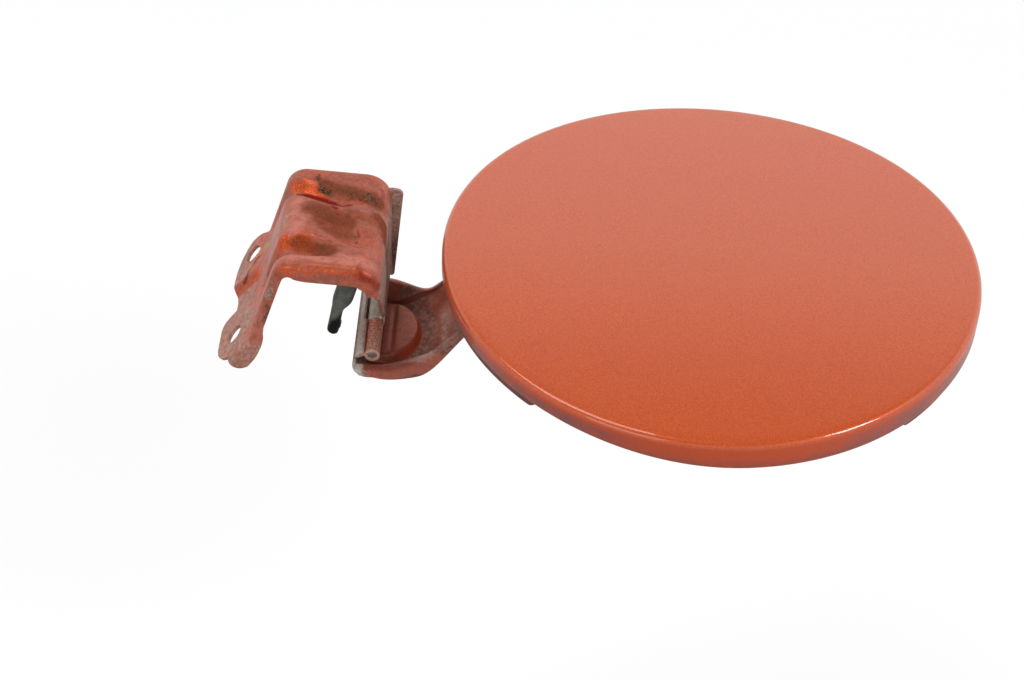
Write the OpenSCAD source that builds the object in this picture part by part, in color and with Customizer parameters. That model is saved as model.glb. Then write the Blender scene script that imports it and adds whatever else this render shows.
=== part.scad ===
// Round fuel filler flap of a passenger car with its stamped hinge arm and saddle bracket.
// Frame: origin at the near mounting hole on the bracket's outer face, +X from the bracket to
// the flap, +Y along the hinge pin, +Z out of the flap's painted face. Millimetres, degrees.
// The pieces are drawn about the hinge pin's axis, and placed() moves them to that frame.

/* [Flap skin] */
// Diameter of the painted flap
flap_d = 171; // [120:1:220]
// How far the rim nearest and farthest along the pin lies below the flap's middle line
crown_drop = 2.9; // [0:0.1:8]
// Sheet of the painted skin
skin_t = 0.8; // [0.6:0.05:1.2]
// Depth of the turned-down rim
skirt_h = 8.9; // [6:0.1:12]
// How much shallower the turned-down rim is on the hinge side
skirt_less = 2.8; // [0:0.1:4]
// Outer radius of the rim's bend
rim_r = 1.9; // [1.2:0.1:4]
// Flap edge to hinge axis, measured along X
edge_reach = 21.1; // [18:0.2:30]
// Height of the flap's face above the hinge axis
face_h = 34; // [30:0.5:44]

/* [Inner panel] */
// Sheet of the pressed inner panel
inner_t = 0.7; // [0.5:0.05:1.2]
// Clear depth between the skin and the inner panel's web
web_gap = 2.0; // [1:0.1:5]
// Room between the inner panel's rim and the skin's skirt
rim_gap = 0.3; // [0.1:0.05:0.6]
// Height of the ring bead pressed towards the skin
bead_h = 1.1; // [0.4:0.1:1.6]
// How far the inner panel's lip shows below the skirt at the two sides
lip_show = 2.6; // [0.5:0.1:4]
// Angle from the near point of the rim at which the showing lip starts
lip_from = 41.5; // [25:1:60]

/* [Hinge arm] */
// Sheet of the arm
arm_t = 1.0; // [0.8:0.05:1.6]
// Width between the arm's two side ridges at the hinge
arm_w = 43; // [36:0.5:50]
// Width between the side ridges at the neck beside the flap
neck_w = 32.6; // [26:0.5:40]
// Depth of the arm's floor below the hinge axis
floor_h = 6.3; // [5.6:0.1:9]
// Height of the side ridges above the floor at the hinge
ridge_h = 5.2; // [3:0.1:8]
// Depth of the arm's turned-down sides at the neck
flange_h = 6.5; // [4:0.5:8]
// Height of the raised half-round panel in the arm's floor
panel_h = 3.2; // [1:0.1:4]
// Start of the half-round panel, from the pin's axis
panel_x = 3.1; // [2:0.1:5]
// Length of the half-round panel along the arm
panel_l = 11.8; // [8:0.1:13]
// Half width of the half-round panel
panel_w = 14.4; // [11:0.1:17]
// Place of the neck's upward bend, from the pin's axis
neck_x = 16.3; // [14:0.1:22]
// Length of the arm's welded foot under the inner panel
foot_l = 20; // [14:1:40]

/* [Hinge pin and eyes] */
// Pin diameter
pin_d = 3.0; // [2.5:0.1:5]
// Radial running clearance of the pin in the bracket's eye
pin_clear = 0.05; // [0.02:0.01:0.09]
// Length of the arm's near eye along the pin
near_eye_l = 16; // [10:0.5:20]
// Length of the bracket's eye along the pin
mid_eye_l = 19.4; // [10:0.2:24]
// Length of the arm's far eye along the pin
far_eye_l = 4; // [3:0.2:8]
// End clearance between neighbouring eyes
eye_gap = 0.3; // [0.1:0.05:0.6]

/* [Saddle bracket] */
// Sheet of the bracket
saddle_t = 1.2; // [1:0.05:2]
// Width of the bracket along the pin
saddle_w = 50.6; // [44:0.5:60]
// Height of the bracket's top above the hinge axis
saddle_h = 43; // [40:0.5:52]
// How far the saddle's top falls from the left leg to the right leg
top_fall = 1.8; // [0:0.1:4]
// Length of the bracket's top, corner to corner
saddle_l = 32.1; // [28:0.1:40]
// Place of the right leg's outer face along X
leg_x = 3.4; // [3.2:0.1:6]
// Depth of the turned-down near edge
lip_h = 6.4; // [3:0.2:9]
// Slope of the left leg
leg_angle = 72.5; // [62:0.5:85]
// Height of the bend between the left leg and the mounting flange
bend_h = 12.5; // [9:0.5:20]
// Slope of the mounting flange
foot_angle = 50; // [40:1:60]
// Diameter of the two mounting holes
hole_d = 6.8; // [5.5:0.1:9]
// Spacing of the mounting holes along the pin
hole_gap = 34; // [30:0.5:46]
// How much lower the near hole sits on the flange
hole_step = 6.2; // [0:0.1:8]
// Depth of the two valleys pressed across the top
valley_h = 3.2; // [1:0.1:4]

/* [Bump stop] */
// Diameter of the rubber stop's bulb
bulb_d = 6.6; // [5:0.2:9]
// Diameter of its tail
tail_d = 3.7; // [2.5:0.1:5]
// Length of the whole stop below the bracket's top
stop_l = 51; // [30:1:60]
// Lean of the stop from upright
stop_lean = 16; // [0:1:30]

/* [Latch striker and buffers] */
// Distance of the striker's tongue from the flap's latch-side edge
striker_in = 36; // [31:1:50]
// Depth of the striker's hook below the inner panel
hook_h = 15; // [10:0.5:24]
// Width of the striker
striker_w = 16; // [10:0.5:24]
// Sheet of the striker
striker_t = 1.5; // [1:0.1:2.5]
// Rivet shank diameter
rivet_d = 3.2; // [2.4:0.1:5]
// Diameter of each rubber buffer
buffer_d = 8; // [6:0.5:9]
// Height of each buffer below the inner panel
buffer_h = 6; // [4:0.5:10]
// Angle of the buffers from the latch side
buffer_at = 38; // [20:1:60]

/* [Hidden] */

flap_r = flap_d / 2;
flap_x = edge_reach + flap_r;
arm_eye_r = pin_d / 2 + arm_t;
mid_eye_r = pin_d / 2 + pin_clear + saddle_t;
mid_y0 = -1.7;
mid_y1 = mid_y0 + mid_eye_l;
near_y1 = mid_y0 - eye_gap;
near_y0 = near_y1 - near_eye_l;
far_y0 = mid_y1 + eye_gap;
far_y1 = far_y0 + far_eye_l;
web_top = -(skin_t + web_gap);
web_under = web_top - inner_t;
foot_z = face_h + web_under - 0.05;
arc_fn = 48;
pin_hole_r = pin_d / 2 + 0.01;

function mix(a, b, t) = a + (b - a) * t;
function clamp01(t) = max(0, min(1, t));
function ease(t) = let (c = clamp01(t)) c * c * (3 - 2 * c);
function rise(x, a, b) = ease((x - a) / (b - a));
function hill(x, a, b, c, d) = rise(x, a, b) * (1 - rise(x, c, d));
function steps(a, b, n) = [for (i = [0 : n]) mix(a, b, i / n)];

// A sheet of thickness t below a grid of points, as one closed polyhedron
function grid_normal(P, i, j) =
    let (a = P[min(i + 1, len(P) - 1)][j] - P[max(i - 1, 0)][j],
         b = P[i][min(j + 1, len(P[0]) - 1)] - P[i][max(j - 1, 0)],
         n = cross(a, b))
    n / norm(n);

module sheet(P, t) {
    nu = len(P);
    nv = len(P[0]);
    m = nu * nv;
    top = [for (i = [0 : nu - 1], j = [0 : nv - 1]) P[i][j]];
    low = [for (i = [0 : nu - 1], j = [0 : nv - 1]) P[i][j] - t * grid_normal(P, i, j)];
    skin = [for (i = [0 : nu - 2], j = [0 : nv - 2])
            let (a = i * nv + j, b = a + 1, c = a + nv, d = c + 1)
            each [[a, b, d], [a, d, c], [a + m, d + m, b + m], [a + m, c + m, d + m]]];
    left = [for (j = [0 : nv - 2]) each [[j + 1, j, j + m], [j + 1, j + m, j + 1 + m]]];
    k = (nu - 1) * nv;
    right = [for (j = [0 : nv - 2])
             each [[k + j, k + j + 1, k + j + 1 + m], [k + j, k + j + 1 + m, k + j + m]]];
    near = [for (i = [0 : nu - 2]) let (a = i * nv, b = a + nv)
            each [[a, b, b + m], [a, b + m, a + m]]];
    far = [for (i = [0 : nu - 2]) let (a = i * nv + nv - 1, b = a + nv)
           each [[b, a, a + m], [b, a + m, b + m]]];
    polyhedron(points = concat(top, low), faces = concat(skin, left, right, near, far));
}

// A round skin: a loop of rows [radius, height, lip, lift] turned about the flap's middle
module turned(rows) {
    nr = len(rows);
    na = len(rim_angles);
    ring = [for (r = rows, a = rim_angles) turned_point(r, a)];
    middle = [turned_point([0, rows[0][1], 0, 0], 0), turned_point([0, rows[nr - 1][1], 0, 0], 0)];
    side = [for (i = [0 : nr - 2], j = [0 : na - 1])
            let (a = i * na + j, b = i * na + (j + 1) % na, c = a + na, d = b + na)
            each [[a, b, d], [a, d, c]]];
    caps = [for (j = [0 : na - 1]) let (k = (j + 1) % na, m = (nr - 1) * na)
            each [[nr * na, k, j], [nr * na + 1, m + j, m + k]]];
    polyhedron(points = concat(ring, middle), faces = concat(side, caps));
}

// Drop of the crown at a point of the flap
function crown(y) = crown_drop * pow(y / flap_r, 2);
// 1 over the two sides of the rim, where the inner panel's lip shows, and 0 near and far
lip_fade = 1;
function at_sides(a) = rise(acos(abs(sin(a))), lip_from - lip_fade, lip_from + lip_fade);
// 1 over the hinge side, where the rim is shallower, and 0 over the latch side
function at_hinge(a) = rise(-cos(a), -0.1, 0.8);
function turned_point(r, a) =
    let (y = r[0] * sin(a))
    [flap_x + r[0] * cos(a), y,
     face_h + r[1] - crown(y) - r[2] * at_sides(a) + r[3] * at_hinge(a)];

rim_quarter = concat(steps(0, 90 - lip_from - lip_fade, 8), steps(90 - lip_from + lip_fade, 90, 8));
rim_last = len(rim_quarter) - 2;
rim_half = concat(rim_quarter, [for (k = [rim_last : -1 : 1]) 180 - rim_quarter[k]]);
rim_angles = concat(rim_half, [for (a = rim_half) a + 180]);

module outer_panel() {
    in_r = flap_r - skin_t;
    less = skirt_less;
    over = concat([for (r = [24, 46, 64, flap_r - 7]) [r, 0, 0, 0]],
                  [for (a = [90 : -18 : 0])
                      [flap_r - rim_r + rim_r * cos(a), -rim_r + rim_r * sin(a), 0, 0]]);
    edge = [[flap_r, 0.25 - skirt_h, 0, less], [flap_r - 0.25, -skirt_h, 0, less],
            [in_r, -skirt_h, 0, less]];
    under = [[in_r, -rim_r, 0, 0], [flap_r - rim_r, -skin_t, 0, 0], [46, -skin_t, 0, 0],
             [24, -skin_t, 0, 0]];
    placed() color([0.83, 0.36, 0.2])
        turned(concat(over, edge, under));
}

module inner_panel() {
    rim = flap_r - skin_t - rim_gap;
    wall = skirt_h - 0.6;
    less = 0.8 * skirt_less;
    over = [for (p = [[26, 0], [rim - 26, 0], [rim - 22, bead_h], [rim - 16, bead_h], [rim - 12, 0],
                      [rim - 1.6, 0], [rim - 0.4, -0.5], [rim, -1.6]])
            [p[0], web_top + p[1], 0, 0]];
    edge = [[rim, -wall, lip_show + 0.6, less], [rim - inner_t, -wall, lip_show + 0.6, less],
            [rim - inner_t, web_under - 1.2, 0, 0], [rim - 2, web_under, 0, 0]];
    under = [for (k = [4 : -1 : 0]) [over[k][0], over[k][1] - inner_t, 0, 0]];
    placed() color([0.62, 0.3, 0.22])
        difference() {
            turned(concat(over, edge, under));
            for (s = [-1, 1])
                striker_rivet_place(s)
                    cylinder(d = rivet_d + 0.1, h = 12, center = true, $fn = arc_fn);
            for (s = [-1, 1])
                buffer_place(s)
                    cylinder(d = buffer_stem_d + 0.1, h = 12, center = true, $fn = arc_fn);
        }
}

// Hinge arm. The sheet's height is a floor with two side ridges, which climbs at the neck and
// ends in a flat foot; the half-round panel is raised from the floor.
neck_slope = tan(46);
soft_k = 2.4;
function soft(a) = (a + sqrt(a * a + soft_k * soft_k)) / 2;
function climb(base, x, from) = foot_z - soft(foot_z - base - soft((x - from) * neck_slope));
ridge_z = ridge_h - floor_h;
foot_x = neck_x + (foot_z - ridge_z) / neck_slope;
arm_end = foot_x + foot_l;
foot_r = 8;
function arm_half(x) =
    let (w = mix(arm_w, neck_w, rise(x, 2, 18)) / 2, e = x - arm_end + foot_r)
    e > 0 ? w - foot_r + sqrt(max(0.01, foot_r * foot_r - e * e)) : w;
function ridge_at(x) = climb(ridge_z, x, neck_x);
function floor_at(x) = climb(-floor_h, x, neck_x + 0.8);
function half_round(x, y) =
    (1 - rise(norm([(x - panel_x) / panel_l, y / panel_w]), 0.86, 1.02))
    * (0.86 * rise(x, -1, 2.5) + 0.14 * rise(x, panel_x + 2.2, panel_x + 3.8));
function flange_fade(x) = 1 - rise(x, foot_x - 7, foot_x - 1);
function flange_at(x) =
    x < neck_x + 1 ? mix(2.4, flange_h, rise(x, -4, neck_x + 1)) * mix(0.4, 1, rise(x, -5.4, -3.2))
                   : mix(flange_h, 1.4, rise(x, neck_x + 1, neck_x + 17));
function foot_crown(x, y) = crown(y) * rise(x, foot_x - 10, foot_x);
function arm_floor(x, v) =
    let (y = v * arm_half(x), down = rise(1 - abs(v), 0, 0.28))
    [x, y, mix(ridge_at(x), floor_at(x), down) + panel_h * half_round(x, y) - foot_crown(x, y)];
// The turned-down side: k runs from 0 at the ridge to 1 at the flange's lower edge
function arm_side(x, k, side) =
    let (fade = flange_fade(x), out = 2.6 * sin(min(90, 150 * k)))
    [x, side * (arm_half(x) + out * max(fade, 0.1)),
     ridge_at(x) - flange_at(x) * (1 - cos(90 * k)) * fade - foot_crown(x, arm_half(x)) - 0.02 * k];
arm_side_k = [1, 0.8, 0.55, 0.3];
function arm_start(v) = -1 - 4.1 * rise(abs(v), 0.84, 0.97);
function arm_row(x0) = concat(
    [for (k = arm_side_k) arm_side(arm_shift(x0, 1), k, -1)],
    [for (v = steps(-1, 1, 20)) arm_floor(arm_shift(x0, v), v)],
    [for (i = [3 : -1 : 0]) arm_side(arm_shift(x0, 1), arm_side_k[i], 1)]);
// Rows near the half-round panel's edge bend along it
function arc_x(v) =
    panel_x + panel_l * sqrt(max(0.12, 1 - pow(v * arm_half(panel_x + panel_l / 2) / panel_w, 2)));
panel_a = panel_x + 3.9;
panel_b = panel_x + panel_l + 0.1;
panel_c = panel_b + 4;
function arm_shift(x0, v) =
    x0 < panel_a ? x0 + (arm_start(v) + 1) * (1 - rise(x0, -1, 5)) :
    x0 < panel_b ? mix(panel_a, arc_x(v), (x0 - panel_a) / (panel_b - panel_a)) :
    x0 < panel_c ? mix(arc_x(v), panel_c, (x0 - panel_b) / (panel_c - panel_b)) : x0;
arm_stations = concat(
    steps(-1, 2.6, 4), [panel_x + 1.3], steps(panel_x + 2.2, panel_x + 3.8, 3),
    [panel_x + 6.5, panel_x + 8.9],
    steps(panel_b - 1.6, panel_b + 0.2, 4), [panel_b + 1.2, panel_b + 2.6, panel_c],
    steps(panel_c + 2.4, foot_x - 6, 5), steps(foot_x - 3, foot_x + 3, 3), [arm_end - foot_r - 1],
    [for (a = [0 : 22.5 : 90]) arm_end - foot_r + (foot_r - 0.01) * sin(a)]);

curl_r = (floor_h + arm_t + arm_eye_r) / 2;
curl_x = -1.4;
curl_z = arm_eye_r - curl_r;
// Section of the curl at the arm's hinge end, from the floor round to the angle given
module curl_section(top_angle) {
    translate([curl_x, curl_z])
        difference() {
            circle(r = curl_r, $fn = arc_fn);
            circle(r = curl_r - arm_t, $fn = arc_fn);
            polygon([[0, 0], [12 * cos(top_angle), 12 * sin(top_angle)], [14, 12], [14, -12], [0, -12]]);
        }
    translate([curl_x - 0.01, -floor_h - arm_t - 0.1])
        square([1.4, arm_t + 0.2]);
}

// The curl with its cut edge, a short web from it and the rolled eye
module eye_section() {
    edge = 120;
    sunk = 0.04;
    inside = [cos(edge + 8), sin(edge + 8)];
    tip = [curl_x, curl_z] + (curl_r - sunk) * [cos(edge), sin(edge)];
    curl_section(edge);
    circle(r = arm_eye_r, $fn = arc_fn);
    polygon([[curl_x, curl_z] + (curl_r - arm_t + sunk) * inside,
             [curl_x, curl_z] + (curl_r - sunk) * inside, tip, tip + [0.9, 0.15] * arm_t,
             [-0.9, 0.3] * arm_eye_r, [-0.9, -0.1] * arm_eye_r]);
}

// Extrudes a section drawn in X and Z along the pin, from y0 to y1
module along_pin(y0, y1) {
    translate([0, y1, 0])
        rotate([90, 0, 0])
            linear_extrude(height = y1 - y0)
                children();
}

module pin_bore(y0, y1, r) {
    along_pin(y0, y1)
        circle(r = r, $fn = arc_fn);
}

module hinge_arm() {
    curl_end = 0.95 * arm_w / 2;
    placed() color([0.55, 0.27, 0.19])
        difference() {
            union() {
                sheet([for (x = arm_stations) arm_row(x)], arm_t);
                along_pin(-curl_end, near_y0)
                    curl_section(165);
                along_pin(near_y0, near_y1)
                    eye_section();
                along_pin(near_y1, far_y0)
                    curl_section(122);
                along_pin(far_y0, far_y1)
                    eye_section();
            }
            pin_bore(near_y0 - 1, near_y1 + 0.1, pin_hole_r);
            pin_bore(far_y0 - 0.1, far_y1 + 1, pin_hole_r);
        }
}

module hinge_pin() {
    placed() color([0.6, 0.55, 0.5])
        pin_bore(near_y0 + 0.4, far_y1 - 0.2, pin_d / 2);
}

// Saddle bracket. Its strip follows a path in X and Z from the mounting flange over the top
// to the right leg; beads and edges stand off that path along its normal.
foot_low = 14;
foot_high = 5.6;
foot_dir = [cos(foot_angle), sin(foot_angle)];
path_left = [leg_x - saddle_l, saddle_h];
leg_drop = saddle_h - bend_h;
path_bend = path_left - [leg_drop / tan(leg_angle), leg_drop];
hole_at = path_bend - foot_high * foot_dir;
path_foot = hole_at - foot_low * foot_dir;
foot_out = [-foot_dir[1], foot_dir[0]];
lobe_sink = 0.5;
lobe_raise = 2.2;
far_up = 1.5;
near_hole = hole_at + (far_up - hole_step) * foot_dir - lobe_sink * foot_out;
module placed() {
    translate([-near_hole[0], -hole_near_y, -near_hole[1]])
        children();
}
path_right = [leg_x, saddle_h - top_fall];
leg_low = 12;
leg_top = saddle_h - top_fall - 11.2;
path_end = [leg_x, leg_low];
bend_r = [7, 7, 8.5];

function unit(v) = v / norm(v);
// Points of the rounded corner at p between a and b, with radius r
function corner(a, p, b, r) =
    let (u = unit(a - p), w = unit(b - p), half = acos(u * w) / 2,
         c = p + unit(u + w) * r / sin(half), q = p + u * r / tan(half) - c,
         turn = (180 - 2 * half) * sign(cross([u[0], u[1]], [w[0], w[1]])) * -1)
    [for (i = [0 : 6]) let (t = turn * i / 6)
        c + [q[0] * cos(t) - q[1] * sin(t), q[0] * sin(t) + q[1] * cos(t)]];
strip = concat([path_foot], corner(path_foot, path_bend, path_left, bend_r[0]),
               corner(path_bend, path_left, path_right, bend_r[1]),
               corner(path_left, path_right, path_end, bend_r[2]), [path_end]);
function run(P, n) = n == 0 ? [0] :
    let (before = run(P, n - 1)) concat(before, [before[n - 1] + norm(P[n] - P[n - 1])]);
strip_s = run(strip, len(strip) - 1);
strip_x = [for (i = [0 : len(strip) - 1]) [strip_s[i], strip[i][0]]];
strip_z = [for (i = [0 : len(strip) - 1]) [strip_s[i], strip[i][1]]];
strip_len = strip_s[len(strip) - 1];
function strip_at(s) = [lookup(s, strip_x), lookup(s, strip_z)];
function strip_out(s) =
    let (d = unit(strip_at(s + 0.4) - strip_at(s - 0.4))) [-d[1], d[0]];

half_w = saddle_w / 2;
near_edge = -half_w - 0.9;
far_edge = half_w - 0.9;
hole_far_y = 18.4;
hole_near_y = hole_far_y - hole_gap;
lobe_far = 3.6;
lobe_near = 2.4;
// Lower outline of the mounting flange, below the line of the holes: a lobe round each hole
flange_low = 5.8;
function near_lobe(y) =
    let (e = (y - hole_near_y - 1.1) / 11.9)
    (foot_low - 1) * sqrt(max(0, 1 - pow(abs(e), e > 0 ? 9 : 2.6)));
function far_lobe(y) =
    let (e = (y - hole_far_y + 9.4) / 18.9)
    -6 + 12.7 * sqrt(max(0, 1 - pow(abs(e), 2.4)));
function foot_edge(y) = foot_low - max(y < 6 ? flange_low : -6, near_lobe(y), far_lobe(y));
function widen(y, s) = y > 0
    ? lobe_far * pow(y / far_edge, 2) * (1 - rise(s - foot_low, 4, 11))
    : -lobe_near * pow(y / near_edge, 2) * (1 - rise(s - foot_low, -4, 8));
// Lower edge of the right leg: a straight slant from the folded lip's end to the eye
slant_y = -11;
slant_h = 19.2;
function leg_edge(y) = strip_len - slant_h * clamp01((slant_y - y) / (slant_y - near_edge));
// Depth of the folded lip: deepest over the top, least along the left leg
function lip_at_s(s) =
    let (leg = rise(s, foot_low + 0.5, foot_low + 11), top = rise(s, foot_low + 30, foot_low + 46),
         end = rise(s, strip_len - 26, strip_len - 19))
    lip_h * mix(mix(mix(0.9, 0.53, leg), 1, top), 0.68, end);
// Two valleys pressed across the top and a long dish between them, as an offset outwards
function beads(x, y) =
    let (near_top = -9.5 - 5.5 * rise(x, -20, -7),
         near = hill(y, -21.5, -17.6, near_top - 5, near_top) * (1 - rise(x, -21, -8)),
         far_y = 12.6 - 0.34 * (min(x, -11) + 24.3),
         far = hill(y, far_y - 4.3, far_y - 0.4, far_y + 0.6, far_y + 6) * (1 - 0.6 * rise(x, -16, -6)),
         dish_y = -1 - 9 * rise(x, -22, -4),
         dish = hill(x, -22, -15, -4, 3) * (1 - rise(abs(y - dish_y), 2, 5.8)))
    -valley_h * near - 0.85 * valley_h * far - 0.5 * valley_h * dish;
function joggle(y, s) =
    (lobe_raise * rise(y, 3, 8) - lobe_sink) * (1 - rise(s, foot_low + 2, foot_low + 11));
function on_strip(s) =
    rise(s, foot_low + 12, foot_low + 22) * (1 - rise(s, strip_len - 27, strip_len - 17));
// One grid point: column position y, edge drop d, and u from 0 at the flange to 1 at the leg
function strip_point(y, d, u) =
    let (foot_y = y + widen(y, foot_low - 6),
         low = foot_edge(foot_y) + (y < 0 ? 3.3 * pow(d / lip_h, 4) : 0),
         s = mix(low, leg_edge(y), u),
         p = strip_at(s),
         n = strip_out(s),
         deep = d < -lip_h + 0.01 ? -lip_at_s(s) : d,
         off = deep + beads(p[0], y) * on_strip(s) + joggle(y, s))
    [p[0] + n[0] * off, y + widen(y, s), p[1] + n[1] * off];
near_fold = [for (a = [0 : 22.5 : 90])
             [near_edge + 2.2 * (1 - sin(a)), -2.2 * (1 - cos(a))]];
far_fold = [for (a = [0 : 30 : 90]) [far_edge - 1.8 * (1 - sin(a)), -1.8 * (1 - cos(a))]];
columns = concat([[near_edge - 0.1, -lip_h]], [for (k = [4 : -1 : 0]) near_fold[k]],
                 [for (y = steps(-21.6, -9.2, 8)) [y, 0]], [for (y = steps(-6.5, 3.5, 4)) [y, 0]],
                 [for (y = steps(5.5, 14.5, 7)) [y, 0]], [[17, 0], [20.5, 0]], far_fold,
                 [[far_edge + 0.05, -3.4]]);
stations = concat(steps(0, 0.17, 5), steps(0.21, 0.31, 4), steps(0.34, 0.43, 6),
                  steps(0.46, 0.64, 8), steps(0.67, 0.8, 7), [0.9, 1]);

// The leg down to the bracket's eye, as a section in X and Z
module eye_leg() {
    r = mid_eye_r;
    t = saddle_t;
    polygon([[leg_x + 0.1, leg_top], [leg_x + 0.1, 10], [r + 0.35, 3], [r, 0], [r * 0.7, -r * 0.7],
             [0, -r * 0.8], [r - t - 0.1, 0], [r + 0.25 - t, 3],
             [leg_x - t - 0.1, 10], [leg_x - t - 0.1, leg_top]]);
    circle(r = r, $fn = arc_fn);
}

// The leg beyond the eye ends above the arm's far eye
module short_leg() {
    t = saddle_t;
    low = arm_eye_r + 3;
    polygon([[leg_x + 0.1, leg_top], [leg_x + 0.1, low + 1], [leg_x, low], [leg_x - t, low],
             [leg_x - t - 0.1, low + 1], [leg_x - t - 0.1, leg_top]]);
}

// The outward-turned stiffening flange at the leg's far edge, with its round top
module stiff_flange() {
    top = saddle_h - 9.5;
    hull() {
        translate([leg_x + 0.2, top]) circle(r = 2.8, $fn = arc_fn);
        translate([leg_x + 1.4, top + 0.4]) circle(r = 2.3, $fn = arc_fn);
        translate([leg_x - 0.3, 1.6]) circle(r = 1.2, $fn = arc_fn);
    }
}

// The gusset that carries the slant on to the eye
module leg_web() {
    translate([leg_x - saddle_t - 0.1, 0, 0])
        rotate([90, 0, 90])
            linear_extrude(height = saddle_t + 0.2)
                polygon([[slant_y - 0.8, leg_low + 1], [mid_y0 + 0.2, mid_eye_r],
                         [mid_y0 + 0.2, leg_low + 1]]);
}

module stop_place() {
    translate([leg_x - 4.6, 5, saddle_h - top_fall - 1.4])
        rotate([0, stop_lean, 0])
            children();
}

module hole_place(y, s) {
    translate([hole_at[0] + s * foot_dir[0], y, hole_at[1] + s * foot_dir[1]])
        rotate([0, -foot_angle, 0])
            children();
}

module bracket() {
    placed() color([0.74, 0.37, 0.28])
        difference() {
            union() {
                sheet([for (u = stations) [for (c = columns) strip_point(c[0], c[1], u)]], saddle_t);
                along_pin(mid_y0, mid_y1)
                    eye_leg();
                leg_web();
                along_pin(mid_y1 - 0.5, far_edge - 0.4)
                    short_leg();
                along_pin(far_edge - 0.5 - saddle_t, far_edge - 0.5)
                    stiff_flange();
            }
            pin_bore(mid_y0 - 1, mid_y1 + 1, pin_d / 2 + pin_clear);
            hole_place(hole_far_y, far_up)
                cylinder(d = hole_d, h = 16, center = true, $fn = arc_fn);
            hole_place(hole_near_y, far_up - hole_step)
                cylinder(d = hole_d, h = 16, center = true, $fn = arc_fn);
            stop_place()
                translate([0, 0, plug_top - 8])
                    cylinder(d = plug_d - 0.2, h = 8, $fn = arc_fn);
        }
}

// Rubber bump stop under the bracket's right shoulder: plug, neck and bulb, and a tail that
// hangs more upright from the bulb's left side
plug_d = 2.6;
plug_top = -0.1;
neck_d = 4.6;
tail_lean = 11;
module bump_stop() {
    bulb_top = -19;
    bulb_low = -38.5;
    round_r = 2.2;
    tail_x = -0.95;
    placed() color([0.2, 0.21, 0.21])
        stop_place() {
            rotate_extrude($fn = arc_fn)
                polygon(concat([[0, plug_top], [plug_d / 2, plug_top], [plug_d / 2, -1.9],
                                [neck_d / 2, -1.9], [neck_d / 2, bulb_top + 3],
                                [bulb_d / 2, bulb_top]],
                               [for (a = [0 : -30 : -90])
                                   [bulb_d / 2 - round_r + round_r * cos(a), bulb_low + round_r * sin(a)]],
                               [[0, bulb_low - round_r]]));
            translate([tail_x, 0, bulb_low + 1])
                rotate([0, tail_lean - stop_lean, 0])
                    translate([0, 0, -stop_l - bulb_low - 1])
                        cylinder(d = tail_d, h = stop_l + bulb_low + 1, $fn = arc_fn);
        }
}

// Latch striker riveted under the inner panel, opposite the hinge
striker_x = flap_x + flap_r - striker_in;
striker_base = 15;
striker_z = face_h + web_under - 0.05;
rivet_y = 4.6;
module striker_rivet_place(s) {
    translate([striker_x - 9, s * rivet_y, striker_z])
        children();
}

module latch_striker() {
    bend = 3;
    t = striker_t;
    window = 6;
    placed() color([0.66, 0.65, 0.6])
        difference() {
            along_pin(-striker_w / 2, striker_w / 2)
                translate([striker_x, striker_z]) {
                    translate([-striker_base, -t])
                        square([striker_base - bend, t]);
                    translate([-bend, -bend])
                        difference() {
                            circle(r = bend, $fn = arc_fn);
                            circle(r = bend - t, $fn = arc_fn);
                            translate([-9, -9]) square([9, 18]);
                            translate([-9, -9]) square([18, 9]);
                        }
                    translate([-t, -hook_h])
                        square([t, hook_h - bend]);
                }
            for (s = [-1, 1])
                striker_rivet_place(s)
                    cylinder(d = rivet_d + 0.1, h = 12, center = true, $fn = arc_fn);
            translate([striker_x, 0, striker_z - hook_h + window / 2 + 3])
                rotate([0, 90, 0])
                    cylinder(d = window, h = 12, center = true, $fn = arc_fn);
            for (s = [-1, 1])
                translate([striker_x, s * (striker_w / 2), striker_z - hook_h])
                    rotate([45, 0, 0])
                        cube([12, 4.2, 4.2], center = true);
        }
}

module striker_rivets() {
    placed() color([0.7, 0.7, 0.68])
        for (s = [-1, 1])
            striker_rivet_place(s)
                rotate_extrude($fn = arc_fn)
                    polygon([[0, inner_t + 0.9], [rivet_d * 0.8, inner_t + 0.9],
                             [rivet_d * 0.8, inner_t + 0.1], [rivet_d / 2, inner_t + 0.1],
                             [rivet_d / 2, -striker_t - 0.02],
                             [rivet_d, -striker_t - 0.02], [rivet_d * 0.85, -striker_t - 0.8],
                             [rivet_d * 0.4, -striker_t - 1.3], [0, -striker_t - 1.35]]);
}

// Two rubber buffers that cushion the flap's latch side
buffer_stem_d = 4;
module buffer_place(s) {
    r = flap_r - skin_t - rim_gap - 7;
    y = s * r * sin(buffer_at);
    translate([flap_x + r * cos(buffer_at), y, face_h + web_under - crown(y)])
        children();
}

module rubber_buffer() {
    color([0.16, 0.16, 0.17])
        rotate_extrude($fn = arc_fn)
            polygon([[0, inner_t + 1], [buffer_stem_d / 2 + 0.7, inner_t + 1],
                     [buffer_stem_d / 2 + 0.7, inner_t + 0.3], [buffer_stem_d / 2, inner_t + 0.3],
                     [buffer_stem_d / 2, -0.3], [buffer_d / 2, -0.3],
                     [buffer_d / 2, 1 - buffer_h], [buffer_d / 2 - 1, -buffer_h], [0, -buffer_h]]);
}

module buffer_near() {
    placed() buffer_place(-1) rubber_buffer();
}

module buffer_far() {
    placed() buffer_place(1) rubber_buffer();
}

outer_panel();
inner_panel();
hinge_arm();
bracket();
hinge_pin();
bump_stop();
latch_striker();
striker_rivets();
buffer_near();
buffer_far();
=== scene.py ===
import math

import bpy
import numpy as np
from mathutils import Matrix, Vector

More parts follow.
